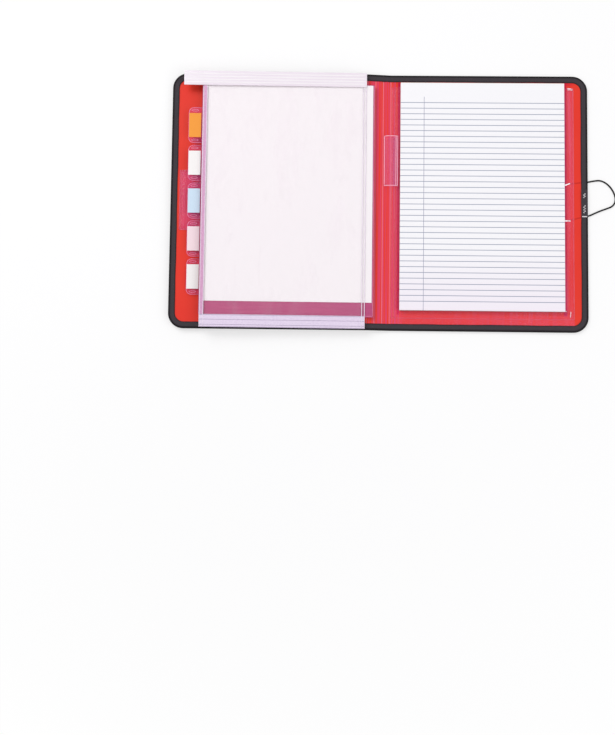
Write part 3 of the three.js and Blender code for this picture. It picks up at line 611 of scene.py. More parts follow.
def make_piece(name, points, faces, material, slot=None, uvs=None, tags=None, outward=True):
    """A mesh object from points in millimetres. uvs and tags give one value for each point."""
    mesh = bpy.data.meshes.new(name)
    mesh.from_pydata([(x * MM, y * MM, z * MM) for x, y, z in points], [], faces)
    if uvs:
        layer = mesh.uv_layers.new(name="UVMap")
        for loop in mesh.loops:
            layer.data[loop.index].uv = uvs[loop.vertex_index]
    for tag, values in (tags or {}).items():
        mesh.attributes.new(tag, "FLOAT", "POINT").data.foreach_set("value", values)
    if outward:
        edit = bmesh.new()
        edit.from_mesh(mesh)
        bmesh.ops.recalc_face_normals(edit, faces=edit.faces)
        edit.to_mesh(mesh)
        edit.free()
    for face in mesh.polygons:
        face.use_smooth = True
    mesh.materials.append(material)
    made = put_in_scene(name, mesh)
    return made


def crease_by_angle(piece, degrees=35):
    """Marks the edges that are sharper than an angle, so that flats stay flat and rounds stay round."""
    piece.data.set_sharp_from_angle(angle=math.radians(degrees))
    return piece


def grid_faces(nc, nr, first=0):
    """Faces between nc columns of nr points, which are counted from first."""
    corners = [first + i * nr + j for i in range(nc - 1) for j in range(nr - 1)]
    return [(a, a + nr, a + nr + 1, a + 1) for a in corners]


def skin(name, material, columns, rows, place, slot):
    """One layer of thin film over columns and rows. place(column, row) is a point."""
    points = [place(c, r) for c in columns for r in rows]
    faces = grid_faces(len(columns), len(rows))
    return make_piece(name, points, faces, material, slot, outward=False)


def plate(name, material, columns, rows, place, slot, tag=None, map_along_y=False):
    """A closed plate over columns and rows. place(column, row, side) is a point; side is 1 above, 0 below.
    tag is the name of an attribute that a material reads, and its value at (column, row, side)."""
    nc, nr = len(columns), len(rows)
    stations = [(c, r, side) for side in (1, 0) for c in columns for r in rows]
    points = [place(*station) for station in stations]
    tags = {tag[0]: [tag[1](*station) for station in stations]} if tag else None
    below = nc * nr
    rim = [i * nr for i in range(nc)] + [below - nr + j for j in range(1, nr)]
    rim += [i * nr + nr - 1 for i in range(nc - 2, -1, -1)] + list(range(nr - 2, 0, -1))
    faces = grid_faces(nc, nr) + grid_faces(nc, nr, below)
    faces += [(a, a + below, b + below, b) for a, b in zip(rim, rim[1:] + rim[:1])]
    uvs = [(y / 100, x / 100) if map_along_y else (x / 100, y / 100) for x, y, _ in points]
    return crease_by_angle(make_piece(name, points, faces, material, slot, uvs, tags))


def loft(name, material, rings, slot, closed=False, capped=True, uvs=None, tags=None, outward=True):
    """A skin over rings of equal count, with flat ends unless it closes on itself or stays open."""
    count = len(rings[0])
    points = [p for ring in rings for p in ring]
    faces = []
    for i in range(len(rings) if closed else len(rings) - 1):
        a, b = i * count, (i + 1) % len(rings) * count
        for k in range(count):
            n = (k + 1) % count
            faces.append((a + k, a + n, b + n, b + k))
    if capped and not closed:
        faces.append(tuple(range(count))[::-1])
        faces.append(tuple(range(len(points) - count, len(points))))
    return make_piece(name, points, faces, material, slot, uvs, tags, outward)


def tube(name, material, route, half_sizes, sides, slot):
    """A round or oval cord along a route. half_sizes is its half width and height, or a list of them."""
    count = len(route)
    vectors = [Vector(p) for p in route]
    tangents = [(vectors[min(i + 1, count - 1)] - vectors[max(i - 1, 0)]).normalized() for i in range(count)]
    up = Vector((0, 0, 1)) if abs(tangents[0].z) < 0.9 else Vector((1, 0, 0))
    across = up.cross(tangents[0]).normalized()
    rings, uvs = [], []
    travelled = 0.0
    for i in range(count):
        if i:
            travelled += (vectors[i] - vectors[i - 1]).length
            across = tangents[i - 1].rotation_difference(tangents[i]) @ across
            across = (across - tangents[i] * across.dot(tangents[i])).normalized()
        upward = tangents[i].cross(across).normalized()
        width, height = half_sizes[i] if isinstance(half_sizes, list) else half_sizes
        rings.append([
            tuple(vectors[i] + across * width * math.cos(a) + upward * height * math.sin(a))
            for a in angles(sides)
        ])
        uvs += [(travelled / 100, k / sides) for k in range(sides)]
    return loft(name, material, rings, slot, uvs=uvs)


def weld_lines(name, material, lines, slot, half_width=0.35, half_height=0.13):
    """Pressed beads along several lines, as one mesh."""
    made = [
        tube("%s_%d" % (name, n), material, line, (half_width, half_height), 8, slot)
        for n, line in enumerate(lines)
    ]
    if len(made) > 1:
        with bpy.context.temp_override(active_object=made[0], selected_editable_objects=made):
            bpy.ops.object.join()
    made[0].name = name
    made[0].data.name = name
    return made[0]


def turned(name, material, profile, base, sides, slot):
    """A lathe piece about the button's axis. profile goes round as radius and level above base."""
    rings = [
        [(BUTTON_X + r * math.cos(a), BUTTON_Y + r * math.sin(a), base + z) for r, z in profile]
        for a in angles(sides)
    ]
    return crease_by_angle(loft(name, material, rings, slot, closed=True), 50)


def rounded_profile(corners, radius, steps):
    """A closed outline with each corner rounded by up to radius."""
    found = []
    for i, corner in enumerate(corners):
        here = Vector(corner)
        back, forth = Vector(corners[i - 1]) - here, Vector(corners[(i + 1) % len(corners)]) - here
        reach = min(radius, back.length * 0.45, forth.length * 0.45)
        start, end = here + back.normalized() * reach, here + forth.normalized() * reach
        for s in range(steps + 1):
            t = s / steps
            found.append(tuple((1 - t) ** 2 * start + 2 * t * (1 - t) * here + t ** 2 * end))
    return found


def outline_plate(name, material, outline, low, high, slot, edge=0.08):
    """A thin sheet cut to an outline, which runs anticlockwise, with its edges eased."""
    inner = []
    for i, (x, y) in enumerate(outline):
        along = (Vector(outline[(i + 1) % len(outline)]) - Vector(outline[i - 1])).normalized()
        inner.append((x - along.y * edge, y + along.x * edge))
    levels = ((inner, low), (outline, low + edge), (outline, high - edge), (inner, high))
    rings = [[(x, y, z) for x, y in points] for points, z in levels]
    return crease_by_angle(loft(name, material, rings, slot), 30)


def place_on_page(piece, level, angle):
    """Turns a piece made level up to the angle that its page springs to."""
    hinge = Vector((PAGE_HINGE_X * MM, 0, level * MM))
    lean = Matrix.Rotation(math.radians(angle), 4, "Y")
    piece.data.transform(Matrix.Translation(hinge) @ lean @ Matrix.Translation(-hinge))


def dress(node, material):
    """Gives a solid that is carried over its material."""
    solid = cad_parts[node]
    solid.data.materials.clear()
    solid.data.materials.append(material)


# Camera, floor and light.

camera = put_in_scene("camera", bpy.data.cameras.new("camera"))
# The rows are the camera's right, up and backward directions, solved from the folio's corners.
aim = Matrix((
    (0.9997288, 0.0130769, -0.0192710), (-0.0116082, 0.9971574, 0.0744475), (0.0201898, -0.0742036, 0.9970387),
))
camera.matrix_world = Matrix.Translation((-0.0598907, -0.3040171, 1.2923695)) @ aim.transposed().to_4x4()
camera.data.sensor_fit = "AUTO"
camera.data.sensor_width = 36
camera.data.lens = 51.325
camera.data.clip_end = 20
bpy.context.scene.camera = camera


def seen_rays(tree):
    """1 for a ray that shows a thing itself, straight, mirrored or through film, and 0 for one that lights."""
    path = add_node(tree, "LightPath")
    seen = path.outputs["Is Camera Ray"]
    for kind in ("Is Glossy Ray", "Is Transmission Ray"):
        seen = add_node(tree, "Math", {0: seen, 1: path.outputs[kind]}, operation="MAXIMUM")
    return seen


world = bpy.data.worlds.new("studio")
bpy.context.scene.world = world
world.use_nodes = True
sky = world.node_tree
sky.nodes.clear()
ambient = add_node(sky, "Background", {"Color": "#FBFAFB", "Strength": 0.545})
backdrop = add_node(sky, "Background", {"Color": "#FFFFFF", "Strength": 1.0})
shown = add_node(sky, "MixShader", {0: seen_rays(sky), 1: ambient, 2: backdrop})
add_node(sky, "OutputWorld", {"Surface": shown})


def soft_box(name, place, size, watts):
    """A square lamp that is aimed at the folio's middle."""
    lamp = put_in_scene(name, bpy.data.lights.new(name, "AREA"))
    lamp.data.shape = "SQUARE"
    lamp.data.size = size
    lamp.data.energy = watts
    lamp.location = place
    lamp.rotation_euler = (-Vector(place)).to_track_quat("-Z", "Y").to_euler()


soft_box("key_box", (-1.1, 0.9, 1.7), 1.2, 21.8)
soft_box("fill_box", (1.3, -0.7, 1.5), 1.6, 13)


def paper_backdrop():
    """Matte white paper: it takes the folio's soft shadow near by and fades to plain white further off."""
    material, tree = start_material("white_paper_backdrop")
    place, *_ = object_place(tree)
    away = add_node(tree, "VectorMath", {0: place}, operation="LENGTH").outputs["Value"]
    white = add_node(tree, "MapRange", {"Value": away, "From Min": 330.0, "From Max": 800.0, "To Min": 0.55})
    share = add_node(tree, "Math", {0: seen_rays(tree), 1: white}, operation="MULTIPLY")
    paper = add_node(tree, "BsdfDiffuse", {"Color": "#FCFCFD"})
    glow = add_node(tree, "Emission", {"Color": "#FFFFFF", "Strength": 1.0})
    add_node(tree, "OutputMaterial", {"Surface": add_node(tree, "MixShader", {0: share, 1: paper, 2: glow})})
    return material


FLOOR_HALF = 4000
floor_corners = [(x * FLOOR_HALF, y * FLOOR_HALF, -0.05) for x, y in ((-1, -1), (1, -1), (1, 1), (-1, 1))]
make_piece("floor", floor_corners, [(0, 1, 2, 3)], paper_backdrop(), outward=False)


# The elastic.


def loop_curve(points, per_span=6):
    """The same centripetal curve as the cord's solid, span by span."""
    vectors = [Vector(p) for p in points]
    count = len(vectors)
    found = []
    for i in range(count - 1):
        p1, p2 = vectors[i], vectors[i + 1]
        p0 = vectors[i - 1] if i else p1 * 2 - p2
        p3 = vectors[i + 2] if i + 2 < count else p2 * 2 - p1
        d0, d1, d2 = ((b - a).length ** 0.5 for a, b in ((p0, p1), (p1, p2), (p2, p3)))
        m1 = ((p1 - p0) / d0 - (p2 - p0) / (d0 + d1) + (p2 - p1) / d1) * d1
        m2 = ((p2 - p1) / d1 - (p3 - p1) / (d1 + d2) + (p3 - p2) / d2) * d1
        for s in range(per_span):
            t = s / per_span
            cubic = (2 * p1 - 2 * p2 + m1 + m2) * t ** 3
            found.append(tuple(cubic + (-3 * p1 + 3 * p2 - 2 * m1 - m2) * t ** 2 + m1 * t + p1))
    return [*found, tuple(vectors[-1])]


loop_route = loop_curve([
    (FORE_EDGE + out + (LOOP_GAP if i in (0, len(LOOP_POINTS) - 1) else 0), y, CORD_RADIUS)
    for i, (out, y) in enumerate(LOOP_POINTS)
])
elastic_loop = tube("elastic_loop_cord", ELASTIC, loop_route, (CORD_RADIUS, CORD_RADIUS), 16, "elastic")
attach(elastic_loop, "elastic")
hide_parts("elastic_loop")
sum((Vector(b) - Vector(a)).length for a, b in zip(loop_route, loop_route[1:])) * MM


def elastic_end(where, hole_y, edge_y, loop_start):
    """One end of the elastic: through its hole, flat under the cover, and out past the fore edge. There a stub
    stays with the cover and a tail swings with the loop. The wrap is drawn in between them at rest, baked in
    place and tied to no body."""

    def on_run(x):
        return hole_y + (edge_y - hole_y) * (x - HOLE_X) / (FORE_EDGE - HOLE_X)

    def root_section(x):
        """The cord's middle and its half width and height, where it turns from the flat run to the loop."""
        t = rise(x, ROOT_START, FORE_EDGE - ROOT_START)
        y = on_run(x) if x < FORE_EDGE else edge_y
        for (x0, y0, _), (x1, y1, _) in zip(loop_start, loop_start[1:]):
            if x0 <= x <= x1:
                y = y0 + (y1 - y0) * (x - x0) / (x1 - x0)
        half_width = RUN_HALF_WIDTH + (CORD_RADIUS - RUN_HALF_WIDTH) * t
        half_height = RUN_HALF_HEIGHT + (CORD_RADIUS - RUN_HALF_HEIGHT) * t
        return (x, y, half_height), half_width, half_height

    down = [(HOLE_X, hole_y, z) for z in (3.15, 2.7, 2.3, 1.9)]
    bend = []
    for a in (0.3, 0.6, 0.9, 1.2, 1.5):
        x = HOLE_X + HOLE_RADIUS * (1 - math.cos(a))
        bend.append((x, on_run(x), 1.9 - HOLE_RADIUS * math.sin(a)))
    under = [(x, on_run(x), RUN_HALF_HEIGHT) for x in spread(HOLE_X + 2, ROOT_START, 2.4)]
    run_sizes = [(HOLE_RADIUS, HOLE_RADIUS)] * len(down)
    run_sizes += [(HOLE_RADIUS + 0.03 * k, HOLE_RADIUS - 0.08 * k) for k in range(1, len(bend) + 1)]
    run_sizes += [(RUN_HALF_WIDTH, RUN_HALF_HEIGHT)] * len(under)
    run = tube("elastic_run_%s_cord" % where, ELASTIC, down + bend + under, run_sizes, CORD_SIDES, "elastic")
    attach(run, "back")
    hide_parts("elastic_run_" + where)

    for label, body, x_from, x_to, slack in (
        ("stub", "back", ROOT_START, WRAP_LOW + 0.99, 0.01),
        ("tail", "elastic", WRAP_HIGH - 0.85, FORE_EDGE + 0.9, 0.03),
    ):
        sections = [root_section(x) for x in spread(x_from, x_to, 0.2)]
        root = tube(
            "elastic_%s_%s" % (label, where), ELASTIC, [centre for centre, _, _ in sections],
            [(width - slack, height - slack) for _, width, height in sections], CORD_SIDES, "elastic",
        )
        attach(root, body)

    rings = []
    for x, flip, slack in ((WRAP_HIGH, -1, 0.05), (WRAP_LOW, 1, 0.03)):
        (cx, cy, cz), width, height = root_section(x)
        ring = []
        for a in angles(CORD_SIDES):
            lean = flip * (height - slack) * math.sin(a)
            ring.append((cx + lean, cy + (width - slack) * math.cos(a), cz + lean))
        rings.append(ring)
    wrap_uvs = [(0.2 * i, k / CORD_SIDES) for i in range(2) for k in range(CORD_SIDES)]
    wrap = loft("elastic_wrap_" + where, ELASTIC, rings, "elastic", uvs=wrap_uvs, outward=False)
    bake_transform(wrap)


def metal_barb(where, hole_y, tilt):
    """The crimped metal end on the inside of the cover: a bar with a pinched middle and rounded tips."""
    rings = []
    for x in fine_at_ends(-BARB_HALF_LENGTH, BARB_HALF_LENGTH, 0.5, 0.1, 0.4):
        tip = math.sqrt(max(0.0, 1 - (max(abs(x) - 3.2, 0) / 0.62) ** 2))
        middle = math.exp(-(x / 0.9) ** 2)
        half = 0.9 * max(tip, 0.25) * (1 - 0.22 * middle)
        tall = 1.1 * max(tip, 0.3) * (1 - 0.12 * middle)
        rings.append([
            (HOLE_X + x * math.cos(tilt) - half * math.cos(a) * math.sin(tilt),
             hole_y + x * math.sin(tilt) + half * math.cos(a) * math.cos(tilt),
             BACK_FACE + tall / 2 * (1 + math.sin(a)))
            for a in angles(16)
        ])
    bar = loft("barb_%s_crimp" % where, NICKEL, rings, "plated_steel")
    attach(bar, "back")
    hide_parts("barb_" + where)


for where, loop_start, tilt in (("upper", loop_route[:6], 20), ("lower", loop_route[:-7:-1], 0)):
    hole_y, edge_y = ELASTIC_ENDS[where]
    elastic_end(where, hole_y, edge_y, loop_start)
    metal_barb(where, hole_y, math.radians(tilt))


# The red sheet.


def sheet_level(x):
    """Middle of the sheet at x: the front lies higher, on its button, and the three strips slope up to it."""
    t = min(max((BACK_CREASE - x) / (2 * BACK_CREASE), 0), 1)
    return BACK_MID + t * (FRONT_MID - BACK_MID)


STRIP_SEAM = (BACK_CREASE + INNER_CREASE) / 2
SEAMS = [FORE_EDGE - SHEET_INSET, STRIP_SEAM, 0.0, -STRIP_SEAM, SHEET_INSET - FORE_EDGE]
# From one seam to the next: name, crease, the bodies right and left of it, and the nodes.
SHEET_PIECES = [
    ("back_cover_sheet", "back_outer", "back", "back_hinge", ["back_cover"]),
    ("back_inner_hinge_sheet", "back_inner", "back_hinge", "spine", ["back_hinge_strip"]),
    ("front_inner_hinge_sheet", "front_inner", "spine", "front_hinge", ["spine_strip"]),
    ("front_cover_sheet", "front_outer", "front_hinge", "front", ["front_hinge_strip", "front_cover"]),
]


def half_height(x):
    """Half of the red sheet's height at x, with the covers' rounded corners."""
    radius = CORNER_RADIUS - SHEET_INSET
    into = abs(x) - (FORE_EDGE - CORNER_RADIUS)
    full = TOP_EDGE - SHEET_INSET
    if into <= 0:
        return full
    return full - radius + math.sqrt(max(radius ** 2 - min(into, radius) ** 2, 0))


def sheet_stations(right_end, left_end, crease):
    """Places across the sheet, close together at the crease and at the rounded corners."""
    corner = FORE_EDGE - CORNER_RADIUS

    def towards(end):
        side = 1 if end > crease else -1
        if abs(end) <= corner:
            return spread(crease + side * FINE_REACH, end, 7.0)
        reach = CORNER_RADIUS - SHEET_INSET
        rounded = [side * (corner + reach * math.sin(math.pi / 2 * k / 14)) for k in range(1, 15)]
        return spread(crease + side * FINE_REACH, side * corner, 7.0) + rounded

    bend = spread(crease + FINE_REACH, crease - FINE_REACH, 0.22)
    return joined_stations(towards(right_end)[::-1], bend, towards(left_end))


def scored(x):
    """How deep the score's groove is at x."""
    near = min(abs(x - c) for c in CREASES.values())
    return SCORE_DEPTH * 0.5 * (1 + math.cos(math.pi * near / SCORE_REACH)) if near < SCORE_REACH else 0.0


def sheet_point(x, row, side):
    half = SHEET / 2 - scored(x)
    return (x, row * half_height(x), sheet_level(x) + (half if side else -half))


def blend_at_crease(piece, n):
    """Bakes the piece's place into its mesh. The ends of the length that bends at the n-th part's crease are
    worked out, but nothing uses them, so the piece does not bend.
    """
    _, crease_name, first, second, _ = SHEET_PIECES[n]
    crease = CREASES[crease_name]
    start, end = ((x * MM, 0, sheet_level(x) * MM) for x in (crease + BEND_REACH, crease - BEND_REACH))
    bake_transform(piece)
    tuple(start)
    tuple(end)


for n, (name, crease_name, _, _, nodes) in enumerate(SHEET_PIECES):
    piece = plate(
        name, RED, sheet_stations(SEAMS[n], SEAMS[n + 1], CREASES[crease_name]), spread(-1.0, 1.0, 0.04),
        sheet_point, "red_polypropylene", ("inner_face", lambda c, r, side: float(side)),
    )
    blend_at_crease(piece, n)
    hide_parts(*nodes)


# The tape.


def tape_section():
    """The tape's section: from its inner lip round the fold to its outer lip, and back through its slot."""
    slot = SHEET / 2 + 0.1
    outer = [(TAPE_FACE, TAPE_RISE - 0.3), (TAPE_FACE - 0.12, TAPE_RISE - 0.08), (TAPE_FACE - 0.4, TAPE_RISE)]
    outer += [(inset, TAPE_RISE) for inset in (6.6, 4.8, 3.2, 2.2)]
    for a in (0, 0.35, 0.7, 1.05, 1.35, math.pi / 2):
        outer.append((TAPE_RISE - TAPE_RISE * math.sin(a), TAPE_RISE * math.cos(a)))
    lower = [(inset, -height) for inset, height in outer[-2::-1]]
    inside = [(TAPE_FACE, -slot), (TAPE_THICKNESS, -slot), (TAPE_THICKNESS, slot), (TAPE_FACE, slot)]
    return outer + lower + inside


def hinge_path(n, side):
    """Stations along the edge of the n-th part of the sheet: point and inward direction. side is 1 at the top
    and -1 at the bottom."""
    crease = CREASES[SHEET_PIECES[n][1]]
    fine = spread(crease + FINE_REACH, crease - FINE_REACH, 0.25)
    xs = joined_stations(spread(SEAMS[n], fine[0], 3), fine, spread(fine[-1], SEAMS[n + 1], 3))
    return [((x, side * TOP_EDGE), (0, -side)) for x in xs]


def binding_path(hand):
    """Stations along a cover's whole binding, which runs round its fore edge. hand is 1 for the back cover and
    -1 for the front one."""
    corner_x, corner_y = hand * (FORE_EDGE - CORNER_RADIUS), TOP_EDGE - CORNER_RADIUS
    fine = spread(hand * (BACK_CREASE - FINE_REACH), hand * (BACK_CREASE + FINE_REACH), 0.25)
    xs = joined_stations(spread(hand * STRIP_SEAM, fine[0], 3), fine, spread(fine[-1], corner_x, 6))
    half = [((x, TOP_EDGE), (0, -1)) for x in xs]
    for a in spread(0.0, math.pi / 2, 0.11)[1:]:
        nx, ny = math.sin(a) * hand, math.cos(a)
        half.append(((corner_x + CORNER_RADIUS * nx, corner_y + CORNER_RADIUS * ny), (-nx, -ny)))
    down = [((hand * FORE_EDGE, y), (-hand, 0)) for y in spread(corner_y, -corner_y, 6)[1:-1]]
    return half + down + [((x, -y), (nx, -ny)) for (x, y), (nx, ny) in half[::-1]]


def lip_wander(distance):
    """The sewn lip isn't quite straight: it wanders by about a quarter of a millimetre."""
    return 0.14 * math.sin(distance / 17.0) + 0.09 * math.sin(distance / 6.3 + 1.0)


def tape_highlight_share(inset, height):
    """How much painted highlight greys the tape: none on the fold, which stays black, full across its flat middle,
    less near its inner lip, and 0.4 as much on the outer face.
    """
    across = rise(inset, 1.9, 1.3) * (1 - 0.6 * rise(inset, 7.2, 0.9))
    return across * (1.0 if height > 0 else 0.4)


def sew_tape(name, stations):
    section = tape_section()
    around = [0.0]
    for a, b in zip(section, section[1:]):
        around.append(around[-1] + math.dist(a, b))
    rings, uvs = [], []
    travelled = 0.0
    for i, ((x, y), (nx, ny)) in enumerate(stations):
        if i:
            travelled += math.dist(stations[i - 1][0], (x, y))
        ring = []
        for inset, height in section:
            reach = inset + (lip_wander(travelled) if inset > 6 else 0)
            px, py = x + nx * reach, y + ny * reach
            ring.append((px, py, sheet_level(px) + height))
        rings.append(ring)
        uvs += [(travelled / 100, v / 100) for v in around]
    # Each point's share of painted highlight goes to the material as its inner_face attribute.
    highlight_shares = [tape_highlight_share(*point) for point in section] * len(rings)
    return crease_by_angle(loft(name, TAPE, rings, "woven_tape", uvs=uvs, tags={"inner_face": highlight_shares}), 60)


for name, n, path, nodes in (
    ("back_binding_tape", 0, binding_path(1), ["back_binding"]),
    ("back_inner_hinge_tape_top", 1, hinge_path(1, 1), ["back_hinge_tape_top"]),
    ("back_inner_hinge_tape_bottom", 1, hinge_path(1, -1), ["back_hinge_tape_bottom"]),
    ("front_inner_hinge_tape_top", 2, hinge_path(2, 1), ["spine_tape_top"]),
    ("front_inner_hinge_tape_bottom", 2, hinge_path(2, -1), ["spine_tape_bottom"]),
    ("front_binding_tape", 3, binding_path(-1),
     ["front_binding", "front_hinge_tape_top", "front_hinge_tape_bottom"]),
):
    piece = sew_tape(name, path)
    blend_at_crease(piece, n)
    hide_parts(*nodes)


def lap_point(x, y, side):
    """The tape's end, turned under and sewn over its beginning at the middle of the fore edge."""
    eased = 0.12 * rise(abs(y) / LAP_HALF, 0.95, 0.05) + 0.1 * rise(x, FORE_EDGE - 1.4, 1.0)
    return (x, y, LAP_TOP - eased if side else LAP_LOW)


# The lap takes the tape's full painted highlight on all its faces.
lap = plate(
    "tape_lap_end", TAPE, spread(FORE_EDGE - TAPE_FACE, FORE_EDGE - 0.5, 0.5), spread(-LAP_HALF, LAP_HALF, 0.5),
    lap_point, "woven_tape", ("inner_face", lambda c, r, side: 1.0), map_along_y=True,
)
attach(lap, "back")
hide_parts("tape_lap")
# Two zigzag bar tacks in glossy thread hold the lap, and a pale line along its lower edge, where the tape is
# turned under, is a painted highlight on the fold.
tacks = []
for low_y, high_y, turns in ((6.8, 12.6, 4), (-12.2, -2.4, 6)):
    zigzag = []
    for k in range(turns * 6 + 1):
        swing = math.asin(math.sin(math.pi * k / 6)) * 2 / math.pi
        y = high_y + (low_y - high_y) * k / (turns * 6)
        zigzag.append((FORE_EDGE - 4.6 + 1.5 * swing, y, LAP_TOP + 0.1))
    tacks.append(zigzag)
lap_tacks = weld_lines("lap_tack_stitches", TACK, tacks, "woven_tape", 0.3, 0.2)
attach(lap_tacks, "back")
lap_edge_line = line_across(
    lambda x, y: (x, y + 0.1 * math.sin(x * 3), LAP_TOP - 0.1), -16.6, FORE_EDGE - 7.6, FORE_EDGE - 1.6, 0.4
)
lap_edge_beads = weld_lines("lap_edge_painted_highlight", LAP_EDGE_HIGHLIGHT, [lap_edge_line], "woven_tape", 0.75, 0.25)
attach(lap_edge_beads, "back")


# The stitches.

STITCH_INPUTS = {
    "Stitch pitch": ("NodeSocketFloat", STITCH_PITCH * MM),
    "Stitch length": ("NodeSocketFloat", STITCH_LENGTH * MM),
    "Thread radius": ("NodeSocketFloat", THREAD_RADIUS * MM),
    "Thread": ("NodeSocketMaterial", THREAD),
}


def stitch_tree():
    """Geometry nodes that lay stitches along the guide edges: resampled, one long bead at each point."""
    tree = bpy.data.node_groups.new("lockstitch_row", "GeometryNodeTree")
    tree.interface.new_socket("Guide", in_out="INPUT", socket_type="NodeSocketGeometry")
    for label, (kind, value) in STITCH_INPUTS.items():
        tree.interface.new_socket(label, in_out="INPUT", socket_type=kind).default_value = value
    tree.interface.new_socket("Stitches", in_out="OUTPUT", socket_type="NodeSocketGeometry")
    given = add_node(tree, "NodeGroupInput").outputs
    curve = add_node(tree, "GeometryNodeMeshToCurve", {"Mesh": given["Guide"]})
    points = add_node(
        tree, "GeometryNodeResampleCurve", {"Curve": curve, "Length": given["Stitch pitch"]}, mode="LENGTH"
    )
    tangent = add_node(tree, "GeometryNodeInputTangent")
    aligned = add_node(tree, "FunctionNodeAlignRotationToVector", {"Vector": tangent}, axis="Z")
    bead = add_node(tree, "GeometryNodeMeshUVSphere", {"Segments": 6, "Rings": 5, "Radius": 1.0})
    half_length = add_node(tree, "Math", {0: given["Stitch length"], 1: 0.5}, operation="MULTIPLY")
    size = add_node(tree, "CombineXYZ", {0: given["Thread radius"], 1: given["Thread radius"], 2: half_length})
    laid = add_node(
        tree, "GeometryNodeInstanceOnPoints",
        {"Points": points, "Instance": bead.outputs["Mesh"], "Rotation": aligned, "Scale": size},
    )
    real = add_node(tree, "GeometryNodeRealizeInstances", {0: laid})
    threaded = add_node(tree, "GeometryNodeSetMaterial", {"Geometry": real, "Material": given["Thread"]})
    add_node(tree, "NodeGroupOutput", {0: threaded})
    return tree


STITCHES = stitch_tree()


def sew_rows(name, rows):
    """One mesh of stitches along several rows of points."""
    points, edges = [], []
    for row in rows:
        edges += [(len(points) + i, len(points) + i + 1) for i in range(len(row) - 1)]
        points += [(x * MM, y * MM, z * MM) for x, y, z in row]
    guide_mesh = bpy.data.meshes.new(name + "_guide")
    guide_mesh.from_pydata(points, edges, [])
    guide = put_in_scene(name + "_guide", guide_mesh)
    modifier = guide.modifiers.new("stitches", "NODES")
    modifier.node_group = STITCHES
    for item in STITCHES.interface.items_tree:
        if item.name in STITCH_INPUTS:
            modifier[item.identifier] = STITCH_INPUTS[item.name][1]
    bpy.context.view_layer.update()
    mesh = bpy.data.meshes.new_from_object(guide.evaluated_get(bpy.context.evaluated_depsgraph_get()))
    mesh.name = name
    guide.modifiers.clear()
    bpy.data.objects.remove(guide)
    for face in mesh.polygons:
        face.use_smooth = True
    made = put_in_scene(name, mesh)
    return made


def cover_rows(hand):
    """Rows above and below a cover's binding, which end short of its crease."""
    rows = []
    for height in (STITCH_RISE, -STITCH_RISE):
        sewn = [(x + nx * STITCH_INSET, y + ny * STITCH_INSET) for (x, y), (nx, ny) in binding_path(hand)]
        rows.append([(x, y, sheet_level(x) + height) for x, y in sewn if x * hand > BACK_CREASE + CLEAR_OF_BEND])
    return rows


def strip_rows(right_crease, left_crease):
    """Short rows above and below the tape at both ends of a strip, which end short of its creases."""
    right_end, left_end = right_crease - CLEAR_OF_FOLD, left_crease + CLEAR_OF_FOLD
    xs = (right_end, (right_end + left_end) / 2, left_end)
    return [
        [(x, side * (TOP_EDGE - STITCH_INSET), sheet_level(x) + height) for x in xs]
        for side in (1, -1) for height in (STITCH_RISE, -STITCH_RISE)
    ]


for name, body, rows in (
    ("back_stitches", "back", cover_rows(1)),
    ("back_hinge_stitches", "back_hinge", strip_rows(BACK_CREASE, INNER_CREASE)),
    ("spine_stitches", "spine", strip_rows(INNER_CREASE, -INNER_CREASE)),
    ("front_hinge_stitches", "front_hinge", strip_rows(-INNER_CREASE, -BACK_CREASE)),
    ("front_stitches", "front", cover_rows(-1)),
):
    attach(sew_rows(name, rows), body)


# The pad and its pocket.


def film_place(face, lift, above):
    """Where a film or a bead on it lies over a cover's face."""
    return lambda x, y: (x, y, face + lift(x, y) + FILM + above)


def pocket_lift(x, y):
    """How far the pocket's film stands off the cover: down on its welds, up over the pad's board, and faintly
    rippled where it is free."""
    left = rise(x - POCKET["left"], 5, 4.8)
    right = rise(POCKET["right"] - x, 2, 2.2)
    foot = rise(y - POCKET["bottom"], 4.5, 4.5)
    ripple = 0.05 * math.sin(x / 9.0 + y / 23.0) * math.sin(y / 14.0)
    covered = PAD["left"] - 1 < x < PAD["right"] + 1
    return (POCKET_LIFT + (0 if covered else ripple)) * left * right * foot


pocket_columns = joined_stations(
    spread(POCKET["left"], POCKET["left"] + 11, 0.6), spread(POCKET["left"] + 11, POCKET["right"] - 14, 12),
    spread(POCKET["right"] - 14, POCKET["right"], 0.5),
)
# Below its foot weld the film runs on flat over the cover, as far as the tape.
pocket_rows = joined_stations(
    spread(POCKET_HEM, POCKET["bottom"], 2), spread(POCKET["bottom"], POCKET["bottom"] + 11, 0.6),
    spread(POCKET["bottom"] + 11, POCKET["top"], 5),
)
on_cover = film_place(BACK_FACE, pocket_lift, FILM_CLEAR)
pocket = skin("pad_pocket_film", POCKET_FILM, pocket_columns, pocket_rows, on_cover, "tinted_film")
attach(pocket, "back")
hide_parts("pad_pocket")

on_pocket = film_place(BACK_FACE, pocket_lift, BEAD_CLEAR)
pocket_lines = [
    line_up(on_pocket, x, POCKET["bottom"] + 0.8, POCKET["top"] - 0.4)
    for x in (POCKET["left"] + 0.6, POCKET["left"] + 4.4, POCKET["right"] - 0.5)
]
pocket_lines.append(line_across(on_pocket, POCKET["bottom"] + 0.7, POCKET["left"] + 0.6, POCKET["right"] - 0.5))
pocket_welds = weld_lines("pad_pocket_welds", WELD, pocket_lines, "tinted_film")
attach(pocket_welds, "back")
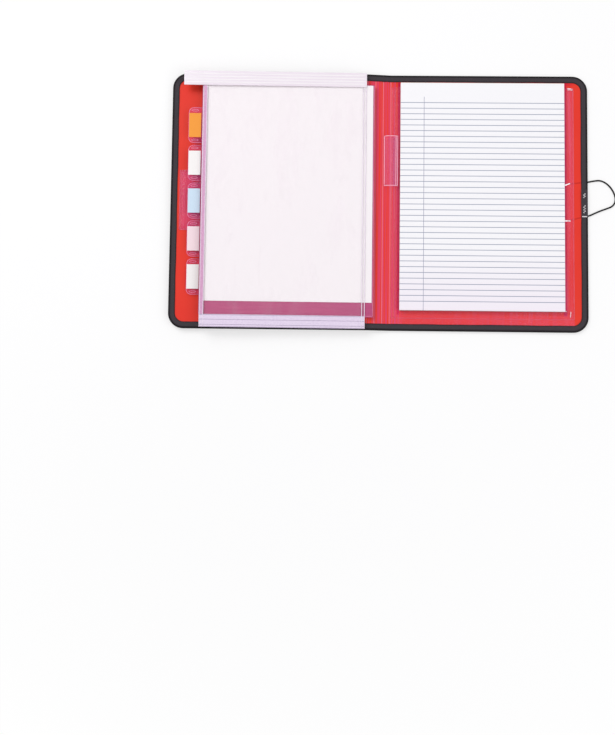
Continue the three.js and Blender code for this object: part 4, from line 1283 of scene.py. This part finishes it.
# Short pale beads at the pocket's top right corner and beside the pad's bottom right corner: painted glints where
# the film is cut and stressed.
corner_glint_lines = [
    line_across(on_pocket, POCKET["top"] - 1.0, POCKET["right"] - 8, POCKET["right"] - 1.2, 1),
    line_across(on_pocket, POCKET["top"] - 2.4, POCKET["right"] - 8, POCKET["right"] - 1.2, 1),
    line_up(on_pocket, POCKET["right"] - 5.2, PAD["bottom"] - 6.5, PAD["bottom"] + 0.5, 1),
    line_across(on_pocket, PAD["bottom"] + 0.8, PAD["right"] + 0.6, PAD["right"] + 2.6, 0.5),
]
corner_glint_beads = weld_lines("pad_pocket_corner_glints", CORNER_GLINT, corner_glint_lines, "tinted_film", 0.4, 0.15)
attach(corner_glint_beads, "back")

# The sheets of the pad lie a little apart at their edges, all but the top one.
random.seed(11)
stack_rings = []
for z in spread(PAPER_LOW, PAPER_HIGH, 0.11):
    slip = 0.0 if z > PAPER_HIGH - 0.2 else 0.09
    left = PAD["left"] + random.uniform(0, slip)
    right = PAD["right"] - random.uniform(0, slip)
    bottom = PAD["bottom"] + random.uniform(0, slip * 2)
    stack_rings.append([(left, bottom, z), (right, bottom, z), (right, PAD["top"], z), (left, PAD["top"], z)])
stack = loft("pad_sheets", RULED, stack_rings, "ruled_paper")
for face in stack.data.polygons:
    face.use_smooth = False
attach(stack, "pad")
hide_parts("pad_paper")
dress("pad_board", BOARD)
dress("pad_gum", GUM)


# The pen loop.


def pen_ring(y, grown):
    """The flattened sleeve at y: fuller than an ellipse at its creased sides, and flared at its mouths."""
    flare = 0.12 * rise(abs(y - (PEN_TOP + PEN_BOTTOM) / 2), 30.3, 1.4)
    ring = []
    for a in angles(64):
        wide = math.copysign(abs(math.cos(a)) ** 0.85, math.cos(a))
        tall = math.copysign(abs(math.sin(a)) ** 0.95, math.sin(a))
        ring.append((
            PEN_X + wide * (PEN_HALF_WIDTH - 0.12 + grown + flare), y,
            PEN_Z + tall * (PEN_HALF_HEIGHT - 0.12 + grown + flare),
        ))
    return ring


pen_rings = [pen_ring(y, 0.0) for y in fine_at_ends(PEN_BOTTOM, PEN_TOP, 2, 0.4, 6)]
sleeve = crease_by_angle(loft("pen_loop_sleeve", POCKET_FILM, pen_rings, "tinted_film", capped=False), 50)
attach(sleeve, "back")
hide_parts("pen_loop")

# The sleeve's tail runs from its underside down to the weld beside the pad.
tail = skin(
    "pen_loop_tail", POCKET_FILM, spread(PEN_X + 2, PEN_X + 6.2, 0.7), spread(PEN_BOTTOM, PEN_TOP, 3),
    lambda x, y: (x, y, 4.85 if x > PEN_X + 2 else 5.2), "tinted_film",
)
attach(tail, "back")
# Pale beads along the upper halves of the sleeve's mouths, along its two creased sides and once across its top:
# painted highlights on the film's edges.
pen_highlight_lines = []
for y in (PEN_BOTTOM + 0.4, PEN_TOP - 0.4):
    upper_half = [p for p in pen_ring(y, 0.06) if p[2] > PEN_Z - 0.4]
    pen_highlight_lines.append(sorted(upper_half, key=lambda p: p[0]))
for hand, reach in ((1, 0.985), (-1, 0.985), (1, 0.72)):
    x = PEN_X + hand * (PEN_HALF_WIDTH - 0.1) * reach
    z = PEN_Z + (PEN_HALF_HEIGHT - 0.06) * math.sqrt(1 - reach ** 2)
    pen_highlight_lines.append([(x, y, z) for y in spread(PEN_BOTTOM, PEN_TOP, 4)])
pen_highlight_beads = weld_lines("pen_loop_painted_highlights", PEN_HIGHLIGHT, pen_highlight_lines, "tinted_film", 0.4, 0.14)
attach(pen_highlight_beads, "back")


# The button: a dome-edged disc on a neck, with a stepped hollow round the rivet, and the rivet's washer.
# Each profile is radius and level above its base.

DISC_PROFILE = [
    (1.8, 1.1), (4.8, 1.1), (5.4, 0.0), (10.0, 0.0), (11.25, 0.75), (11.25, 2.1), (10.85, 2.5), (3.2, 2.5),
    (3.2, 6.1), (1.8, 6.1),
]
RIVET_PROFILE = [
    (0.02, 0.2), (2.6, 0.2), (4.4, 0.8), (4.4, 1.1), (1.5, 1.1), (1.5, 7.3), (2.6, 7.3), (2.3, 7.55),
    (0.8, 7.55), (0.6, 7.1), (0.02, 7.1),
]
WASHER_PROFILE = [(1.8, 0.0), (4.5, 0.0), (4.5, 0.3), (1.8, 0.3)]
for name, material, profile, base, sides, slot, node in (
    ("button_cap", BUTTON, rounded_profile(DISC_PROFILE, 0.45, 4), 0.0, 96, "button_plastic", "button_disc"),
    ("button_rivet_tube", RIVET, rounded_profile(RIVET_PROFILE, 0.3, 4), 0.0, 64, "plated_steel",
     "button_rivet"),
    ("rivet_washer_ring", NICKEL, rounded_profile(WASHER_PROFILE, 0.12, 3), FRONT_FACE, 64, "plated_steel",
     "rivet_washer"),
):
    piece = turned(name, material, profile, base, sides, slot)
    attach(piece, "front")
    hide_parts(node)


# The card pocket.


def card_lift(x, y):
    left, right = rise(x - CARD["left"], 3, 4), rise(CARD["right"] - x, 3, 4)
    foot = rise(y - CARD["bottom"], 1.5, 4)
    return CARD_LIFT * left * right * max(foot, 0.15)


card_rows = joined_stations(
    spread(CARD["bottom"], CARD["bottom"] + 6, 0.5), spread(CARD["bottom"] + 6, CARD["top"], 5)
)
card = skin(
    "card_pocket_film", CARD_FILM, fine_at_ends(CARD["left"], CARD["right"], 8, 0.5, 6), card_rows,
    film_place(FRONT_FACE, card_lift, FILM_CLEAR), "clear_film",
)
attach(card, "front")
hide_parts("card_pocket")
on_card = film_place(FRONT_FACE, card_lift, BEAD_CLEAR)
card_lines = [
    line_up(on_card, x, CARD["bottom"] + 0.6, CARD["top"] - 0.4)
    for x in (CARD["left"] + 0.6, CARD["left"] + 2.4, CARD["right"] - 0.6, CARD["right"] - 2.4)
]
card_lines += [
    line_across(on_card, y, CARD["left"] + 0.6, CARD["right"] - 0.6)
    for y in (CARD["bottom"] + 0.6, CARD["top"] - 0.5)
]
card_welds = weld_lines("card_pocket_welds", WELD, card_lines, "clear_film")
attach(card_welds, "front")


# The pages.

QUARTER, HALF, THREE_QUARTERS = math.pi / 2, math.pi, 3 * math.pi / 2


def tab_arcs(tab_top, tab_bottom, inset=0):
    """The two rounded corners of a tab, or of a line just inside them."""
    centre_x = TAB_TIP + TAB_CORNER
    upper = arc(centre_x, tab_top - TAB_CORNER, TAB_CORNER - inset, QUARTER, HALF)
    return upper + arc(centre_x, tab_bottom + TAB_CORNER, TAB_CORNER - inset, HALF, THREE_QUARTERS)


def page_outline(right_edge, tab_top, tab_bottom):
    centre_x, centre_y = PAGE_LEFT + PAGE_CORNER, PAGE_END - PAGE_CORNER
    return [
        (right_edge, -PAGE_END), (right_edge, PAGE_END), *arc(centre_x, centre_y, PAGE_CORNER, QUARTER, HALF),
        (PAGE_LEFT, tab_top), *tab_arcs(tab_top, tab_bottom), (PAGE_LEFT, tab_bottom),
        *arc(centre_x, -centre_y, PAGE_CORNER, HALF, THREE_QUARTERS),
    ]


def tab_rim(on_page, tab_top, tab_bottom):
    """The pressed edge round a tab, just inside its outline, and the two small oval welds of its sleeve."""
    rim = [
        (PAGE_LEFT, tab_top - TAB_RIM_INSET), *tab_arcs(tab_top, tab_bottom, TAB_RIM_INSET),
        (PAGE_LEFT, tab_bottom + TAB_RIM_INSET),
    ]
    lines = [[on_page(x, y) for x, y in rim]]
    for y in (tab_top - 4.2, tab_bottom + 4.2):
        lines.append([
            on_page(PAGE_LEFT - 8.5 + 4.2 * math.cos(a), y + 1.1 * math.sin(a)) for a in spread(0, math.tau, 0.4)
        ])
    return lines


for n, (level, angle, overhang) in enumerate(PAGES):
    number = n + 1
    body = "page_%d" % number
    tab_top = FIRST_TAB_TOP - n * TAB_PITCH
    tab_bottom = tab_top - TAB_PITCH + TAB_GAP
    right_edge = overhang - BACK_CREASE
    high = level + PAGE_THICKNESS
    page = outline_plate(
        "divider_page_%d" % number, PAGE_FILM, page_outline(right_edge, tab_top, tab_bottom), level, high,
        "divider_film",
    )
    place_on_page(page, level, angle)
    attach(page, body)
    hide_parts("divider_%d" % number)

    def on_page(x, y, bead_level=high + 0.02):
        return (x, y, bead_level)

    rims = tab_rim(on_page, tab_top, tab_bottom)
    rims.append(line_up(on_page, PAGE_LEFT + 2.0, 4 - PAGE_END, PAGE_END - 4, 6))
    # The bead along the page's right edge is a painted highlight on the film's edge.
    rims.append(line_up(on_page, right_edge - 0.45, 1 - PAGE_END, PAGE_END - 1, 6))
    rims.append(line_across(on_page, 1.2 - PAGE_END, PAGE_LEFT + 4, right_edge - 1.2, 6))
    rim = weld_lines("tab_rim_%d" % number, PAGE_WELD, rims, "divider_film", 0.3, 0.12)
    place_on_page(rim, level, angle)
    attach(rim, body)
    dress("tab_label_%d" % number, LABELS[n])

TOP_LEVEL, TOP_ANGLE, TOP_OVERHANG = PAGES[0]
INSERT_LOW = TOP_LEVEL + PAGE_THICKNESS + 0.34


def insert_point(x, y, side):
    """A loose sheet with a faint wave."""
    return (x, y, INSERT_LOW + 0.028 * math.sin(x / 31.0 + y / 47.0) + (0.1 if side else 0))


insert = plate(
    "blank_insert_sheet", SHEET_PAPER, spread(PAGE_LEFT + 3, TOP_OVERHANG - BACK_CREASE - 1.9, 10),
    spread(18 - PAGE_END, PAGE_END - 1, 10), insert_point, "plain_paper",
)
place_on_page(insert, TOP_LEVEL, TOP_ANGLE)
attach(insert, "page_1")
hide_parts("insert_sheet")
dress("page_weld_bar", RED)


# The pouch.


def front_film_point(x, y):
    """The pouch's front film, down on its welds and slightly full between them."""
    edge = min(x - POUCH["left"], POUCH["right"] - x, y - POUCH["bottom"])
    wave = 0.05 * math.sin(x / 27.0) * math.sin(y / 33.0 + 1.0) * rise(edge, 0, 15)
    return (x, y, POUCH_FRONT + FILM - 0.05 + 0.1 * rise(edge, 4, 20) + wave)


def on_pouch(x, y):
    return (x, y, POUCH_FRONT + FILM + 0.17)


def hem_point(x, y, side):
    return (x, y, POUCH_FRONT + FILM + (0.14 if side else 0.04))


def rib_height(y):
    """1 on the crest of a rib of the zip, 0 between ribs."""
    into = (y - ZIP_BOTTOM) / ZIP_RIB_PITCH
    nearest = min(max(round(into), 1), 4)
    return rise(0.24 - abs(into - nearest), 0, 0.24)


def crimp(x):
    """The zip's ribs are pressed flat at its two ends."""
    return rise(x - ZIP_LEFT, 1.5, 4) * rise(POUCH["right"] - x, 1.5, 4)


back_outline = [
    (POUCH["right"], POUCH["bottom"]), (POUCH["right"], POUCH["top"]), (ZIP_LEFT, POUCH["top"]),
    (ZIP_LEFT, ZIP_BOTTOM), (POUCH["left"], ZIP_BOTTOM), (POUCH["left"], POUCH["bottom"]),
]
back_film = make_piece(
    "pouch_back_sheet", [(x, y, POUCH_LEVEL + FILM) for x, y in back_outline], [tuple(range(6))], CLEAR_FILM,
    "clear_film", outward=False,
)
front_film = skin(
    "pouch_front_sheet", CLEAR_FILM, spread(POUCH["left"], POUCH["right"], 5),
    spread(POUCH["bottom"], ZIP_BOTTOM - 0.3, 5), front_film_point, "clear_film",
)
side_lines = [
    line_up(on_pouch, x, POUCH["bottom"] + 0.7, ZIP_BOTTOM - 1, 8)
    for x in (POUCH["left"] + 0.7, POUCH["left"] + 5.2, POUCH["right"] - 0.7, POUCH["right"] - 4.0)
]
pouch_welds = weld_lines("pouch_welds", CLEAR_WELD, side_lines, "clear_film", 0.4, 0.14)
hem_lines = [
    line_across(on_pouch, POUCH["bottom"] + inset, POUCH["left"] + 0.7, POUCH["right"] - 0.7, 8)
    for inset in (0.7, 3.2, 9.5, 15.1)
]
hem_welds = weld_lines("pouch_hem_welds", HEM_LINE, hem_lines, "clear_film", 0.3, 0.12)
bottom_hem = plate(
    "pouch_bottom_hem", HEM_FILM, spread(POUCH["left"] + 0.2, POUCH["right"] - 0.2, 8),
    spread(POUCH["bottom"] + 0.2, HEM_TOP - 0.1, 3), hem_point, "clear_film",
)
side_hem = plate(
    "pouch_side_hem", SIDE_HEM_FILM, spread(POUCH["left"] + 0.2, POUCH["left"] + 5.3, 2.6),
    spread(HEM_TOP + 0.1, ZIP_BOTTOM - 0.6, 8), hem_point, "clear_film",
)
pouch_pieces = [
    (back_film, ["pouch_back_film"]), (front_film, ["pouch_front_film"]), (pouch_welds, []), (bottom_hem, []),
    (side_hem, []), (hem_welds, []),
]
for name, low, rib, row_step, node in (
    ("zip_lower_strip", POUCH_FRONT, 0.0, 3, "zip_lower_track"),
    ("zip_upper_strip", POUCH_FRONT + 0.6, 0.15, 0.24, "zip_upper_track"),
):
    def zip_point(x, y, side, low=low, rib=rib):
        return (x, y, low + (0.3 + rib * rib_height(y) * crimp(x) if side else 0))

    strip = plate(
        name, ZIP, fine_at_ends(ZIP_LEFT, POUCH["right"], 6, 0.75, 8), spread(ZIP_BOTTOM, POUCH["top"], row_step),
        zip_point, "zip_plastic", ("rib", lambda x, y, side: rib_height(y) * crimp(x)),
    )
    pouch_pieces.append((strip, [node]))

for piece, nodes in pouch_pieces:
    place_on_page(piece, POUCH_LEVEL, POUCH_ANGLE)
    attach(piece, "pouch")
    if nodes:
        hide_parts(*nodes)


bpy.context.scene.view_settings.view_transform = "Standard"
